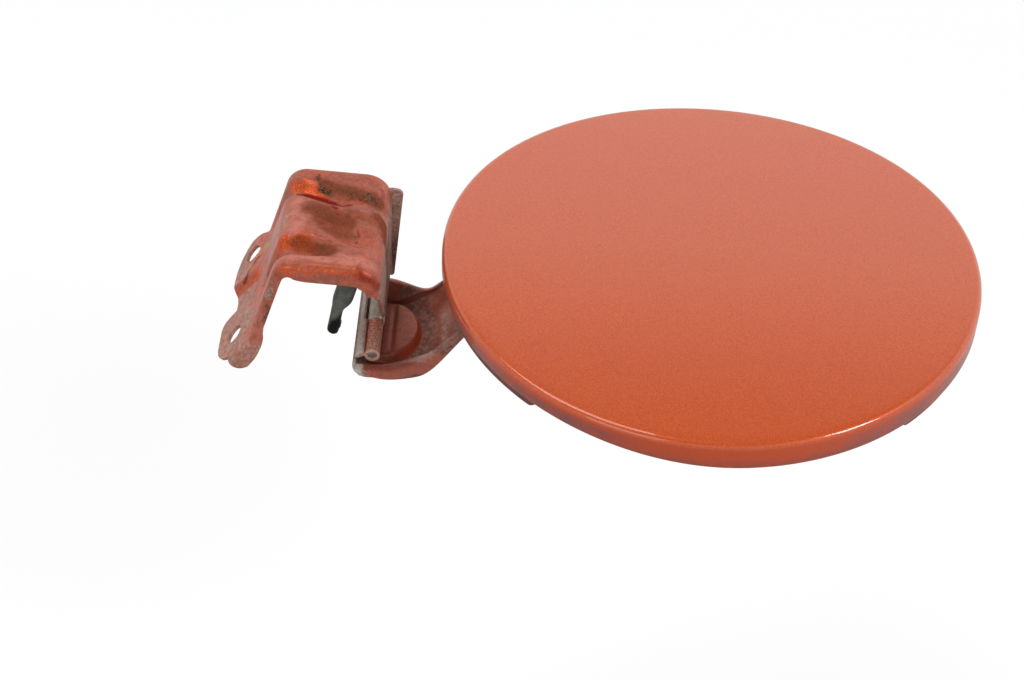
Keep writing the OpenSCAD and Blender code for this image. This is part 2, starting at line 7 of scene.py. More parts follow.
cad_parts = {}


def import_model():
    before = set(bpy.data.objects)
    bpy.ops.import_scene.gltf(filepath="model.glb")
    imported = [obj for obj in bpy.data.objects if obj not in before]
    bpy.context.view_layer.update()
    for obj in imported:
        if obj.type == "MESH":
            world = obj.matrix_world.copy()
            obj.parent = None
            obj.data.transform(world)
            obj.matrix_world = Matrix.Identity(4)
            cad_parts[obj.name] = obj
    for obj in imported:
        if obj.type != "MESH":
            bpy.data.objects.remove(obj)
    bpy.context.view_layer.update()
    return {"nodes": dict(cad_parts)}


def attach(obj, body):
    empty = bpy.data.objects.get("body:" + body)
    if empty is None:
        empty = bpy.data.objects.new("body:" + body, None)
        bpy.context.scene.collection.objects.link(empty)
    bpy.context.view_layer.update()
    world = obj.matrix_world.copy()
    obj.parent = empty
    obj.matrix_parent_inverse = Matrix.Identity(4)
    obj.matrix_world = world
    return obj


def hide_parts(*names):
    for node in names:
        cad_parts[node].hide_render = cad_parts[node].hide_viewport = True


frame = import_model()

# Lengths are in millimetres about the hinge pin's axis, as in the part's source.
# MOUNT is the frame's origin, the near mounting hole, in those coordinates.
MOUNT = np.array([-44.5543, -15.6, 4.28835])
FLAP, SADDLE = "flap_side", "bracket_side"


def world(p):
    return (np.asarray(p, float) - MOUNT) / 1000


def ease(t):
    t = np.clip(t, 0, 1)
    return t * t * (3 - 2 * t)


def rise(x, a, b):
    return ease((np.asarray(x, float) - a) / (b - a))


def hill(x, a, b, c, d):
    return rise(x, a, b) * (1 - rise(x, c, d))


def mix(a, b, t):
    return a + (b - a) * t


def unit(v):
    return v / np.maximum(np.linalg.norm(v, axis=-1, keepdims=True), 1e-12)


def noise(p, scale, seed=0):
    """Smooth value noise from -1 to 1 at points p, about one feature in each scale mm."""
    q = np.asarray(p, float) / scale + seed * 17.31
    i = np.floor(q).astype(np.int64)
    f = q - i
    f = f * f * (3 - 2 * f)
    out = 0
    for corner in range(8):
        c = np.array([corner & 1, corner >> 1 & 1, corner >> 2 & 1])
        k = i + c
        h = (k[..., 0] * 73856093) ^ (k[..., 1] * 19349663) ^ (k[..., 2] * 83492791)
        h = (h ^ (h >> 13)) * 1274126177 & 0x7FFFFFFF
        w = np.prod(np.where(c == 1, f, 1 - f), axis=-1)
        out = out + w * ((h % 65536) / 32768 - 1)
    return out


# Meshes


def build(name, points, faces, body, node, smooth=40):
    mesh = bpy.data.meshes.new(name)
    mesh.from_pydata([tuple(p) for p in world(points)], [], faces)
    mesh.validate()
    obj = bpy.data.objects.new(name, mesh)
    bpy.context.scene.collection.objects.link(obj)
    for p in mesh.polygons:
        p.use_smooth = True
    mesh.set_sharp_from_angle(angle=math.radians(smooth))
    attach(obj, body)
    if node:
        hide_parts(node)
    return obj


def paint_mask(obj, name, values):
    layer = obj.data.attributes.new(name, "FLOAT", "POINT")
    layer.data.foreach_set("value", np.asarray(values, np.float32))


def points_of(obj):
    co = np.zeros(len(obj.data.vertices) * 3)
    obj.data.vertices.foreach_get("co", co)
    return co.reshape(-1, 3) * 1000 + MOUNT


def streak(p, r, *line):
    """Closeness of points p to a line, 1 on it and fading over about r mm."""
    line = np.array(line, float)
    best = np.full(len(p), 1e9)
    for a, b in zip(line, line[1:] if len(line) > 1 else line):
        d = b - a
        t = np.clip((p - a) @ d / max(d @ d, 1e-9), 0, 1)
        best = np.minimum(best, np.linalg.norm(p - a - t[:, None] * d, axis=1))
    return np.exp(-(best / r) ** 2)


def most(*masks):
    return np.maximum.reduce(masks)


def grid_normals(P):
    du = np.gradient(P, axis=0)
    dv = np.gradient(P, axis=1)
    return unit(np.cross(du, dv))


def sheet_mesh(P, t, keep=None, snap=None):
    """Points and faces of a sheet of thickness t below the grid P, open where keep is False."""
    nu, nv = P.shape[:2]
    N = grid_normals(P)
    if keep is None:
        keep = np.ones((nu - 1, nv - 1), bool)
    index = np.arange(nu * nv).reshape(nu, nv)
    a, b = index[:-1, :-1][keep], index[:-1, 1:][keep]
    c, d = index[1:, :-1][keep], index[1:, 1:][keep]
    quads = np.stack([a, c, d, b], 1)
    edges = np.concatenate([quads[:, [i, (i + 1) % 4]] for i in range(4)])
    key = {tuple(e) for e in edges.tolist()}
    rim = [e for e in edges.tolist() if (e[1], e[0]) not in key]
    P = P.reshape(-1, 3).copy()
    N = N.reshape(-1, 3)
    if snap is not None:
        on_rim = np.unique(np.array(rim))
        P[on_rim] = snap(P[on_rim])
    out = np.zeros_like(P)
    for e in rim:
        side = np.cross(P[e[1]] - P[e[0]], N[e[0]])
        side /= np.linalg.norm(side) + 1e-12
        out[e[0]] += side
        out[e[1]] += side
    out = unit(out)
    m = nu * nv
    levels = [(0, -0.06), (0.08, 0), (0.92, 0), (1, -0.06)]
    rows = [P - N * t * 0.0, P - N * t]
    points = [P, P - N * t]
    faces = [tuple(q[::-1]) for q in quads.tolist()]
    faces += [tuple(int(v) + m for v in q) for q in quads.tolist()]
    ring = {}
    for v in {v for e in rim for v in e}:
        ring[v] = len(ring)
    order = np.array(sorted(ring, key=ring.get))
    base = 2 * m
    for share, shift in levels[1:3]:
        points.append(P[order] - N[order] * t * share + out[order] * (shift + 0.05))
    n = len(order)
    for a, b in rim:
        ra, rb = ring[a], ring[b]
        chain_a = [a, base + ra, base + n + ra, a + m]
        chain_b = [b, base + rb, base + n + rb, b + m]
        for k in range(3):
            faces.append((chain_a[k], chain_b[k], chain_b[k + 1], chain_a[k + 1]))
    return np.concatenate(points), faces


def loft(rings, closed=True, caps=True):
    """Points and faces through rings, each (n, 3)."""
    rings = [np.asarray(r, float) for r in rings]
    n = len(rings[0])
    points = np.concatenate(rings)
    faces = []
    for k in range(len(rings) - 1):
        for i in range(n if closed else n - 1):
            j = (i + 1) % n
            faces.append((k * n + i, k * n + j, (k + 1) * n + j, (k + 1) * n + i))
    if caps:
        faces.append(tuple(range(n))[::-1])
        faces.append(tuple(range((len(rings) - 1) * n, len(rings) * n)))
    return points, faces


def join(parts):
    points, faces, base = [], [], 0
    for p, f in parts:
        points.append(np.asarray(p, float))
        faces += [tuple(int(v) + base for v in q) for q in f]
        base += len(p)
    return np.concatenate(points), faces


def along_pin(section, y0, y1, round_by=0.12):
    """A closed section in X and Z, drawn along Y with its end edges broken."""
    s = np.asarray(section, float)
    middle = s.mean(0)
    side = unit(np.roll(s, -1, 0) - np.roll(s, 1, 0))
    out = np.stack([side[:, 1], -side[:, 0]], 1)
    area = 0.5 * np.sum(s[:, 0] * np.roll(s[:, 1], -1) - np.roll(s[:, 0], -1) * s[:, 1])
    out *= np.sign(area)
    rings = []
    for y, inset in ((y0, 1), (y0 + 0.3 * round_by, 0.3), (y0 + round_by, 0), (y1 - round_by, 0),
                     (y1 - 0.3 * round_by, 0.3), (y1, 1)):
        q = s - out * inset * round_by
        rings.append(np.stack([q[:, 0], np.full(len(s), y), q[:, 1]], 1))
    if area > 0:
        rings = rings[::-1]
    return loft(rings)


def revolve(profile, at, axis=(0, 0, 1), n=64):
    """A profile of (radius, height) turned about an axis through at."""
    z = unit(np.array(axis, float))
    x = unit(np.cross([0, 1, 0], z)) if abs(z[1]) < 0.9 else np.array([1.0, 0, 0])
    y = np.cross(z, x)
    a = np.arange(n) * 2 * math.pi / n
    rings = []
    for r, h in profile:
        r = max(r, 0.004)
        rings.append(np.array(at) + r * (np.outer(np.cos(a), x) + np.outer(np.sin(a), y)) + h * z)
    return loft(rings[::-1] if profile[0][1] > profile[-1][1] else rings)


def rounded(profile, r=0.25, steps=3):
    """A profile with its corners rounded by about r."""
    p = [np.array(q, float) for q in profile]
    out = [p[0]]
    for a, b, c in zip(p[:-2], p[1:-1], p[2:]):
        la, lc = np.linalg.norm(a - b), np.linalg.norm(c - b)
        k = min(r, 0.45 * la, 0.45 * lc)
        s, e = b + (a - b) / la * k, b + (c - b) / lc * k
        for i in range(steps + 1):
            t = i / steps
            out.append((1 - t) ** 2 * s + 2 * t * (1 - t) * b + t * t * e)
    out.append(p[-1])
    return [tuple(q) for q in out]


# Flap: painted skin and inner panel

FLAP_R, FLAP_X, FACE = 85.5, 106.6, 34.0
SKIRT, LESS, RIM_R, SKIN = 8.9, 2.8, 1.9, 0.8


def crown(y):
    return 2.9 * (y / FLAP_R) ** 2


def turned(rows, n=512):
    a = np.arange(n) * 2 * math.pi / n
    across = np.degrees(np.arccos(np.abs(np.sin(a))))
    sides = np.where(np.cos(a) < 0, rise(across, 38.6, 41.8), rise(across, 40.4, 42.8))
    hinge = rise(-np.cos(a), -0.1, 0.8)
    rings = []
    for r, h, lip, lift in rows:
        y = r * np.sin(a)
        rings.append(np.stack([FLAP_X + r * np.cos(a), y, FACE + h - crown(y) - lip * sides + lift * hinge], 1))
    points, faces = loft(rings, caps=False)
    top, low = len(points), len(points) + 1
    middle = [[FLAP_X, 0, FACE + rows[0][1]], [FLAP_X, 0, FACE + rows[-1][1]]]
    points = np.concatenate([points, middle])
    last = (len(rows) - 1) * n
    for i in range(n):
        j = (i + 1) % n
        faces.append((top, j, i))
        faces.append((low, last + i, last + j))
    return points, [f[::-1] for f in faces]


def skin_rows():
    rows = [(r, 0, 0, 0) for r in (4, 12, 20, 28, 36, 44, 52, 60, 68, 74, 78, 81)]
    for k in range(13):
        t = math.radians(90 - 7.5 * k)
        rows.append((FLAP_R - RIM_R + RIM_R * math.cos(t), -RIM_R + RIM_R * math.sin(t), 0, 0))
    for k in (0.12, 0.25, 0.4, 0.55, 0.7, 0.85, 1):
        rows.append((FLAP_R, mix(-RIM_R, 0.3 - SKIRT, k), 0, k * LESS))
    rows += [(FLAP_R - 0.1, 0.1 - SKIRT, 0, LESS), (FLAP_R - 0.3, -SKIRT, 0, LESS), (FLAP_R - 0.65, 0.02 - SKIRT, 0, LESS),
             (FLAP_R - SKIN, 0.2 - SKIRT, 0, LESS), (FLAP_R - SKIN, 3 - SKIRT, 0, 0.6 * LESS), (FLAP_R - SKIN, -RIM_R, 0, 0)]
    for t in (30, 60, 90):
        a = math.radians(t)
        rows.append((FLAP_R - RIM_R + 1.1 * math.cos(a), -RIM_R + 1.1 * math.sin(a), 0, 0))
    rows += [(r, -SKIN, 0, 0) for r in (70, 50, 30, 12)]
    return rows


skin = build("flap_skin", *turned(skin_rows()), FLAP, "outer_panel")

WEB, INNER_T = -2.8, 0.7
RIM = FLAP_R - SKIN - 0.3


def web_rows():
    over = [(r, WEB, 0, 0) for r in (6, 20, 34, 48, RIM - 26)]
    over += [(RIM - 26 + 4 * t, WEB + 1.1 * ease(t), 0, 0) for t in (0.25, 0.5, 0.75, 1)]
    over += [(RIM - 16 + 4 * t, WEB + 1.1 * (1 - ease(t)), 0, 0) for t in (0, 0.25, 0.5, 0.75, 1)]
    over += [(RIM - 6, WEB, 0, 0)]
    edge = [(RIM - 1.6 + 1.6 * math.sin(math.radians(a)), WEB - 1.6 + 1.6 * math.cos(math.radians(a)), 0, 0)
            for a in (0, 22, 45, 68, 90)]
    low, less = 0.6 - SKIRT, 0.8 * LESS
    drop = [(RIM, low + 1.6, 0, 0.6 * less), (RIM, low + 0.6, 2.4, less), (RIM, low + 0.1, 3.2, less)]
    lip = [(RIM - 0.1, low, 3.2, less), (RIM - INNER_T + 0.1, low, 3.2, less), (RIM - INNER_T, low + 0.1, 3.2, less),
           (RIM - INNER_T, low + 1.8, 0.4, 0.6 * less), (RIM - INNER_T, WEB - 1.6, 0, 0),
           (RIM - INNER_T - 0.3, WEB - INNER_T - 0.35, 0, 0), (RIM - 1.6, WEB - INNER_T, 0, 0)]
    under = [(r, h - INNER_T, 0, 0) for r, h, _, _ in over[::-1]]
    return over + edge + drop + lip + under


web = build("flap_inner_panel", *turned(web_rows()), FLAP, "inner_panel")

# Hinge arm

FLOOR, RIDGE, NECK, SLOPE = -6.3, -1.1, 16.3, math.tan(math.radians(46))
FOOT_Z, ARM_T, EYE_R, PIN_R = 30.45, 1.0, 2.5, 1.5
FOOT_X = NECK + (FOOT_Z - RIDGE) / SLOPE
ARM_END = FOOT_X + 20


def soft(a):
    return (a + np.sqrt(a * a + 2.4 * 2.4)) / 2


def climb(base, x, start):
    return FOOT_Z - soft(FOOT_Z - base - soft((x - start) * SLOPE))


def arm_half(x):
    w = mix(43, 32.6, rise(x, 2, 18)) / 2
    e = x - ARM_END + 8
    return np.where(e > 0, w - 8 + np.sqrt(np.maximum(0.01, 64 - e * e)), w)


def flange_at(x):
    low = mix(2.4, 6.5, rise(x, -4, NECK + 1)) * mix(0.3, 1, rise(x, -5.3, -3.4))
    high = mix(6.5, 1.4, rise(x, NECK + 1, NECK + 17))
    return np.where(x < NECK + 1, low, high)


def half_round(x, y):
    edge = np.hypot((x - 3.1) / 11.8, y / 14.4)
    groove = 0.06 * np.exp(-((x - 5.4) / 0.8) ** 2) * (1 - rise(np.abs(y), 8, 11))
    return (1 - rise(edge, 0.86, 1.02)) * (0.86 * rise(x, -1, 2.5) + 0.14 * rise(x, 5.3, 6.9) - groove)


def arm_grid(nu=260, nv=150):
    sides = 18
    v = np.linspace(-1, 1, nv)
    x0 = np.concatenate([np.linspace(-1, ARM_END - 8, nu - 40),
                         ARM_END - 8 + 7.99 * np.sin(np.linspace(0, math.pi / 2, 41)[1:])])
    start = -1 - 4.1 * rise(np.abs(v), 0.84, 0.97)
    X = x0[:, None] + (start + 1)[None, :] * (1 - rise(x0, -1, 5))[:, None]
    half = arm_half(X)
    Y = v[None, :] * half
    down = rise(1 - np.abs(v), 0, 0.28)[None, :]
    ridge = climb(RIDGE, X, NECK)
    floor = climb(FLOOR, X, NECK + 0.8)
    foot = rise(X, FOOT_X - 10, FOOT_X)
    Z = mix(ridge, floor, down) + 3.2 * half_round(X, Y) - crown(Y) * foot
    top = np.stack([X, Y, Z], -1)
    xs = x0 + (start[-1] + 1) * (1 - rise(x0, -1, 5))
    fade = 1 - rise(xs, FOOT_X - 7, FOOT_X - 1)
    flanks = []
    for side in (-1, 1):
        k = np.linspace(1, 0, sides + 1)[:-1]
        out = 2.6 * np.sin(np.radians(np.minimum(90, 150 * k)))
        y = side * (arm_half(xs)[:, None] + out[None, :] * np.maximum(fade, 0.1)[:, None])
        z = (climb(RIDGE, xs, NECK)[:, None] - flange_at(xs)[:, None] * (1 - np.cos(np.radians(90 * k)))[None, :] * fade[:, None]
             - (crown(arm_half(xs)) * rise(xs, FOOT_X - 10, FOOT_X))[:, None])
        flank = np.stack([np.broadcast_to(xs[:, None], y.shape), y, z], -1)
        flanks.append(flank if side < 0 else flank[:, ::-1])
    return np.concatenate([flanks[0], top, flanks[1]], 1)


def curl_section(top_angle, n=40):
    r = (-FLOOR + ARM_T + EYE_R) / 2
    cx, cz = -1.4, EYE_R - r
    a = np.radians(np.linspace(270, top_angle, n))
    outer = np.stack([cx + r * np.cos(a), cz + r * np.sin(a)], 1)
    inner = np.stack([cx + (r - ARM_T) * np.cos(a), cz + (r - ARM_T) * np.sin(a)], 1)[::-1]
    start = np.array([[0.0, -7.35]])
    end = np.array([[0.0, -6.25]])
    return np.concatenate([start, outer, inner, end])


def arc(r, a0, a1, n=48):
    a = np.radians(np.linspace(a0, a1, n))
    return np.stack([r * np.cos(a), r * np.sin(a)], 1)


def eye_section(outer, bore):
    """A rolled eye's ring, closed but for a hairline where the sheet's end meets it."""
    return np.concatenate([arc(outer, 160, 160 - 352), arc(bore, 160 - 352, 160)])


def cut_edge(wide):
    """The curl's cut edge beside a rolled eye, flat on top, with a groove against the eye."""
    r = (-FLOOR + ARM_T + EYE_R) / 2
    cx, cz = -1.4, EYE_R - r
    a = np.radians(np.linspace(270, 120, 34))
    outer = np.stack([cx + r * np.cos(a), cz + r * np.sin(a)], 1)
    top = [[cx + r * math.cos(a[-1]) + wide * k, cz + r * math.sin(a[-1]) + 0.12 * math.sin(k * math.pi)]
           for k in (0.2, 0.5, 0.85)]
    groove = [[-2.45, 1.35], [-2.36, 0.7], [-2.4, -0.2]]
    b = np.radians(np.linspace(165, 262, 20))
    inner = np.stack([cx + (r - ARM_T) * np.cos(b), cz + (r - ARM_T) * np.sin(b)], 1)
    return np.concatenate([[[0.0, -7.35]], outer, top, groove, inner, [[0.0, -6.25]]])


arm_parts = [sheet_mesh(arm_grid(), ARM_T)]
arm_parts.append(along_pin(curl_section(165), -20.4, -18))
arm_parts.append(along_pin(cut_edge(1.0), -18, -2))
arm_parts.append(along_pin(curl_section(122), -2, 18))
arm_parts.append(along_pin(cut_edge(1.0), 18, 22))
for y0, y1 in ((-18, -2), (18, 22)):
    arm_parts.append(along_pin(eye_section(EYE_R, PIN_R + 0.01), y0, y1, 0.2))
arm = build("stamped_arm", *join(arm_parts), FLAP, "hinge_arm")

pin = build("pin", *revolve(rounded([(0, 0), (1.5, 0), (1.5, 39.4), (0, 39.4)], 0.25), (0, -17.6, 0), (0, 1, 0)),
            FLAP, "hinge_pin")

# Saddle bracket

LEG_X, TOP_Z, SADDLE_T, FALL, LIP_H = 3.4, 43.0, 1.2, 1.8, 6.4
FOOT_DIR = np.array([math.cos(math.radians(50)), math.sin(math.radians(50))])
LEFT = np.array([LEG_X - 32.1, TOP_Z])
BEND = LEFT - np.array([30.5 / math.tan(math.radians(72.5)), 30.5])
HOLE = BEND - 5.6 * FOOT_DIR
FOOT = HOLE - 14 * FOOT_DIR
NEAR, FAR = -26.2, 24.4


def corner(a, p, b, r, n=24):
    u, w = unit(a - p), unit(b - p)
    half = math.acos(float(u @ w)) / 2
    c = p + unit(u + w) * r / math.sin(half)
    q = p + u * r / math.tan(half) - c
    turn = (math.pi - 2 * half) * -np.sign(u[0] * w[1] - u[1] * w[0])
    t = turn * np.linspace(0, 1, n)
    return np.stack([c[0] + q[0] * np.cos(t) - q[1] * np.sin(t), c[1] + q[0] * np.sin(t) + q[1] * np.cos(t)], 1)


RIGHT, END = np.array([LEG_X, TOP_Z - FALL]), np.array([LEG_X, 12.0])
STRIP = np.concatenate([[FOOT], corner(FOOT, BEND, LEFT, 7), corner(BEND, LEFT, RIGHT, 7),
                        corner(LEFT, RIGHT, END, 8.5), [END]])
RUN = np.concatenate([[0], np.cumsum(np.linalg.norm(np.diff(STRIP, axis=0), axis=1))])
STRIP_LEN = RUN[-1]


def strip_at(s):
    return np.stack([np.interp(s, RUN, STRIP[:, 0]), np.interp(s, RUN, STRIP[:, 1])], -1)


def strip_out(s):
    d = unit(strip_at(s + 0.8) - strip_at(s - 0.8))
    return np.stack([-d[..., 1], d[..., 0]], -1)


def foot_edge(y):
    e = (y + 15.6 - 1.1) / 11.9
    near = 13 * np.sqrt(np.maximum(0, 1 - np.where(e > 0, np.abs(e) ** 9, np.abs(e) ** 2.6)))
    e = (y - 18.4 + 9.4) / 18.9
    far = -6 + 12.7 * np.sqrt(np.maximum(0, 1 - np.abs(e) ** 2.4))
    return 14 - np.maximum(np.maximum(np.where(y < 6, 5.8, -6), near), far)


def widen(y, s):
    far = 3.6 * (y / FAR) ** 2 * (1 - rise(s - 14, 4, 11))
    near = -2.4 * (y / NEAR) ** 2 * (1 - rise(s - 14, -4, 8))
    return np.where(y > 0, far, near)


def lip_depth(s):
    leg, top = rise(s, 14.5, 25), rise(s, 44, 60)
    end = rise(s, STRIP_LEN - 26, STRIP_LEN - 19)
    return LIP_H * mix(mix(mix(0.9, 0.53, leg), 1, top), 0.68, end)


def beads(x, y):
    near_top = -9.5 - 5.5 * rise(x, -20, -7)
    near = hill(y, -21.5, -17.6, near_top - 5, near_top) * (1 - rise(x, -21, -8))
    far_y = 12.6 - 0.34 * (np.minimum(x, -11) + 24.3)
    far = hill(y, far_y - 4.3, far_y - 0.4, far_y + 0.6, far_y + 6) * (1 - 0.6 * rise(x, -16, -6))
    dish_y = -1 - 9 * rise(x, -22, -4)
    dish = hill(x, -22, -15, -4, 3) * (1 - rise(np.abs(y - dish_y), 2, 5.8))
    return -3.2 * near - 2.72 * far - 1.6 * dish


def saddle_grid(nu=330, nv=210):
    a = np.linspace(math.pi / 2, 0, 12)
    near = np.concatenate([[[NEAR - 0.1 * k, -2.2 - (LIP_H - 2.2) * k] for k in np.linspace(1, 0.05, 9)],
                           np.stack([NEAR + 2.2 * (1 - np.sin(a)), -2.2 * (1 - np.cos(a))], 1)])
    b = np.linspace(0, math.pi / 2, 10)
    far = np.concatenate([np.stack([FAR - 1.8 * (1 - np.sin(b)), -1.8 * (1 - np.cos(b))], 1),
                          [[FAR + 0.05 * k, -1.8 - 1.6 * k] for k in (0.33, 0.66, 1)]])
    mid = np.linspace(NEAR + 2.2, FAR - 1.8, nv - len(near) - len(far) + 2)[1:-1]
    cols = np.concatenate([near, np.stack([mid, 0 * mid], 1), far])
    u = np.linspace(0, 1, nu)[:, None]
    y, d = cols[None, :, 0], cols[None, :, 1]
    low = foot_edge(y + widen(y, 8.0)) + 3.3 * (d / LIP_H) ** 4 * (y < 0)
    leg = STRIP_LEN - 19.2 * np.clip((-11 - y) / (-11 - NEAR), 0, 1)
    s = low + (leg - low) * u
    deep = np.where((y < -20) & (d < -2.2), -2.2 + (d + 2.2) * (lip_depth(s) - 2.2) / (LIP_H - 2.2), d)
    p, n = strip_at(s), strip_out(s)
    x = p[..., 0]
    press = beads(x, y) * rise(s, 26, 36) * (1 - rise(s, STRIP_LEN - 27, STRIP_LEN - 17))
    joggle = (2.2 * rise(y, 3, 8) - 0.5) * (1 - rise(s, 16, 25))
    off = deep + press + joggle
    return np.stack([p[..., 0] + n[..., 0] * off, y + widen(y, s), p[..., 1] + n[..., 1] * off], -1)


HOLES = []
for y, s, off in ((-15.6, -4.7, -0.5), (18.4, 1.5, 1.7)):
    q = HOLE + s * FOOT_DIR + off * np.array([-FOOT_DIR[1], FOOT_DIR[0]])
    HOLES.append(np.array([q[0], y, q[1]]))
HOLE_AXIS = np.array([-FOOT_DIR[1], 0, FOOT_DIR[0]])
PLUG = np.array([LEG_X - 4.6, 5, TOP_Z - FALL - 1.4])
LEAN = math.radians(16)
PLUG_AXIS = np.array([math.sin(LEAN), 0, math.cos(LEAN)])
ROUND_HOLES = [(HOLES[0], HOLE_AXIS, 3.4), (HOLES[1], HOLE_AXIS, 3.4)]


def from_hole(p, at, axis):
    d = p - at
    along = d @ axis
    flat = d - along[..., None] * axis
    return np.linalg.norm(flat, axis=-1), flat, along


def snap_holes(p):
    for at, axis, r in ROUND_HOLES:
        far, flat, along = from_hole(p, at, axis)
        close = (far < r + 1.2) & (np.abs(along) < 2.5)
        p = np.where(close[:, None], at + axis * along[:, None] + flat * (r / np.maximum(far, 1e-6))[:, None], p)
    return p


S = saddle_grid()
middle = (S[:-1, :-1] + S[1:, :-1] + S[:-1, 1:] + S[1:, 1:]) / 4
open_at = np.zeros(middle.shape[:2], bool)
for at, axis, r in ROUND_HOLES:
    far, flat, along = from_hole(middle, at, axis)
    open_at |= (far < r) & (np.abs(along) < 2.5)
saddle_parts = [sheet_mesh(S, SADDLE_T, ~open_at, snap_holes)]

EYE_B = PIN_R + 0.05 + SADDLE_T
T = SADDLE_T


def smooth_section(points, r=1.2):
    p = [np.array(q, float) for q in points]
    n = len(p)
    out = []
    for i in range(n):
        a, b, c = p[i - 1], p[i], p[(i + 1) % n]
        la, lc = np.linalg.norm(a - b), np.linalg.norm(c - b)
        k = min(r, 0.4 * la, 0.4 * lc)
        s, e = b + (a - b) / la * k, b + (c - b) / lc * k
        for t in np.linspace(0, 1, 5):
            out.append((1 - t) ** 2 * s + 2 * t * (1 - t) * b + t * t * e)
    return np.array(out)


eye_leg = smooth_section([(LEG_X + 0.1, 30), (LEG_X + 0.1, 10), (EYE_B + 0.35, 3), (EYE_B, 0.5), (EYE_B - 0.5, -0.8),
                          (EYE_B - T, 0), (EYE_B + 0.25 - T, 3), (LEG_X - T - 0.1, 10), (LEG_X - T - 0.1, 30)])
saddle_parts.append(along_pin(eye_leg, -1.7, 17.7))
saddle_parts.append(along_pin(eye_section(EYE_B, PIN_R + 0.05), -1.7, 17.7, 0.2))
short_leg = smooth_section([(LEG_X + 0.1, 30), (LEG_X + 0.1, 6.5), (LEG_X, 5.5), (LEG_X - T, 5.5),
                            (LEG_X - T - 0.1, 6.5), (LEG_X - T - 0.1, 30)], 0.3)
saddle_parts.append(along_pin(short_leg, 17.2, FAR - 0.4))
flange = []
for (cx, cz, r, a0, a1) in ((LEG_X - 0.3, 1.6, 1.2, 180, 355), (LEG_X + 1.4, 33.9, 2.3, 355, 440), (LEG_X + 0.2, 33.5, 2.8, 90, 178)):
    flange.append(np.array([cx, cz]) + arc(r, a0, a1, 16))
saddle_parts.append(along_pin(np.concatenate(flange), FAR - 1.7, FAR - 0.5, 0.15))
gusset = smooth_section([(-11.8, 13), (-1.5, 2.75), (-1.5, 13)], 0.2)
gusset = np.stack([np.full(len(gusset), LEG_X + 0.1), gusset[:, 0], gusset[:, 1]], 1)
saddle_parts.append(loft([gusset, gusset - np.array([T + 0.2, 0, 0])]))
saddle = build("saddle", *join(saddle_parts), SADDLE, "bracket")

# Bump stop, striker, rivets and buffers

def bump_stop():
    """Neck and bulb on one leaning axis, and a tail that hangs more upright from the bulb's left."""
    x_axis = np.array([math.cos(LEAN), 0, -math.sin(LEAN)])
    rows = [(0, 0, 0.2), (0, 0, 1.3), (-1.7, 0, 1.3), (-1.9, 0, 2.0), (-2.1, 0, 2.3), (-15.5, 0, 2.3), (-17, 0, 2.6),
            (-18.5, 0, 3.15), (-19.5, 0, 3.3), (-36, 0, 3.3), (-37.3, -0.05, 3.2), (-38.4, -0.15, 2.95),
            (-39.4, -0.32, 2.6), (-40.3, -0.44, 2.3), (-41, -0.5, 2.1), (-42, -0.53, 2.0)]
    rows += [(-h, -0.53 + 0.0875 * (h - 42), 1.95) for h in np.linspace(43, 49.8, 9)]
    rows += [(-50.3, 0.18, 1.85), (-50.6, 0.2, 1.55), (-50.75, 0.2, 1.0), (-50.75, 0.2, 0.2)]
    a = np.arange(56) * 2 * math.pi / 56
    rings = []
    for h, c, r in rows:
        swell = 0.4 * hill(-h, 45.3, 46.6, 48, 49.3) * np.maximum(np.cos(a), 0)
        sway = 5 - 1.5 * rise(-h, 41, 53)
        across = np.outer(c + (r + swell) * np.cos(a), x_axis) + np.outer(sway - PLUG[1] + r * np.sin(a), [0, 1, 0])
        rings.append(PLUG + across + h * PLUG_AXIS)
    return loft(rings[::-1])


stop = build("rubber_stop", *bump_stop(), SADDLE, "bump_stop")

STRIKE_X, STRIKE_Z = FLAP_X + FLAP_R - 36, FACE - 3.55


def rivets():
    parts = []
    for s in (-1, 1):
        profile = rounded([(0, 1.6), (2.56, 1.6), (2.56, 0.8), (1.6, 0.8), (1.6, -1.52), (3.2, -1.52), (2.72, -2.3),
                           (1.28, -2.8), (0, -2.85)], 0.3)
        parts.append(revolve(profile, (STRIKE_X - 9, s * 4.6, STRIKE_Z)))
    return join(parts)


rivet = build("rivet_heads", *rivets(), FLAP, "striker_rivets")
for s, side in ((-1, "near"), (1, "far")):
    r = RIM - 7
    y = s * r * math.sin(math.radians(38))
    at = (FLAP_X + r * math.cos(math.radians(38)), y, FACE - 3.5 - crown(y))
    profile = rounded([(0, 1.7), (2.7, 1.7), (2.7, 1), (2, 1), (2, -0.3), (4, -0.3), (4, -5), (3, -6), (0, -6)], 0.5)
    build("rubber_buffer_" + side, *revolve(profile, at), FLAP, "buffer_" + side)

# Materials


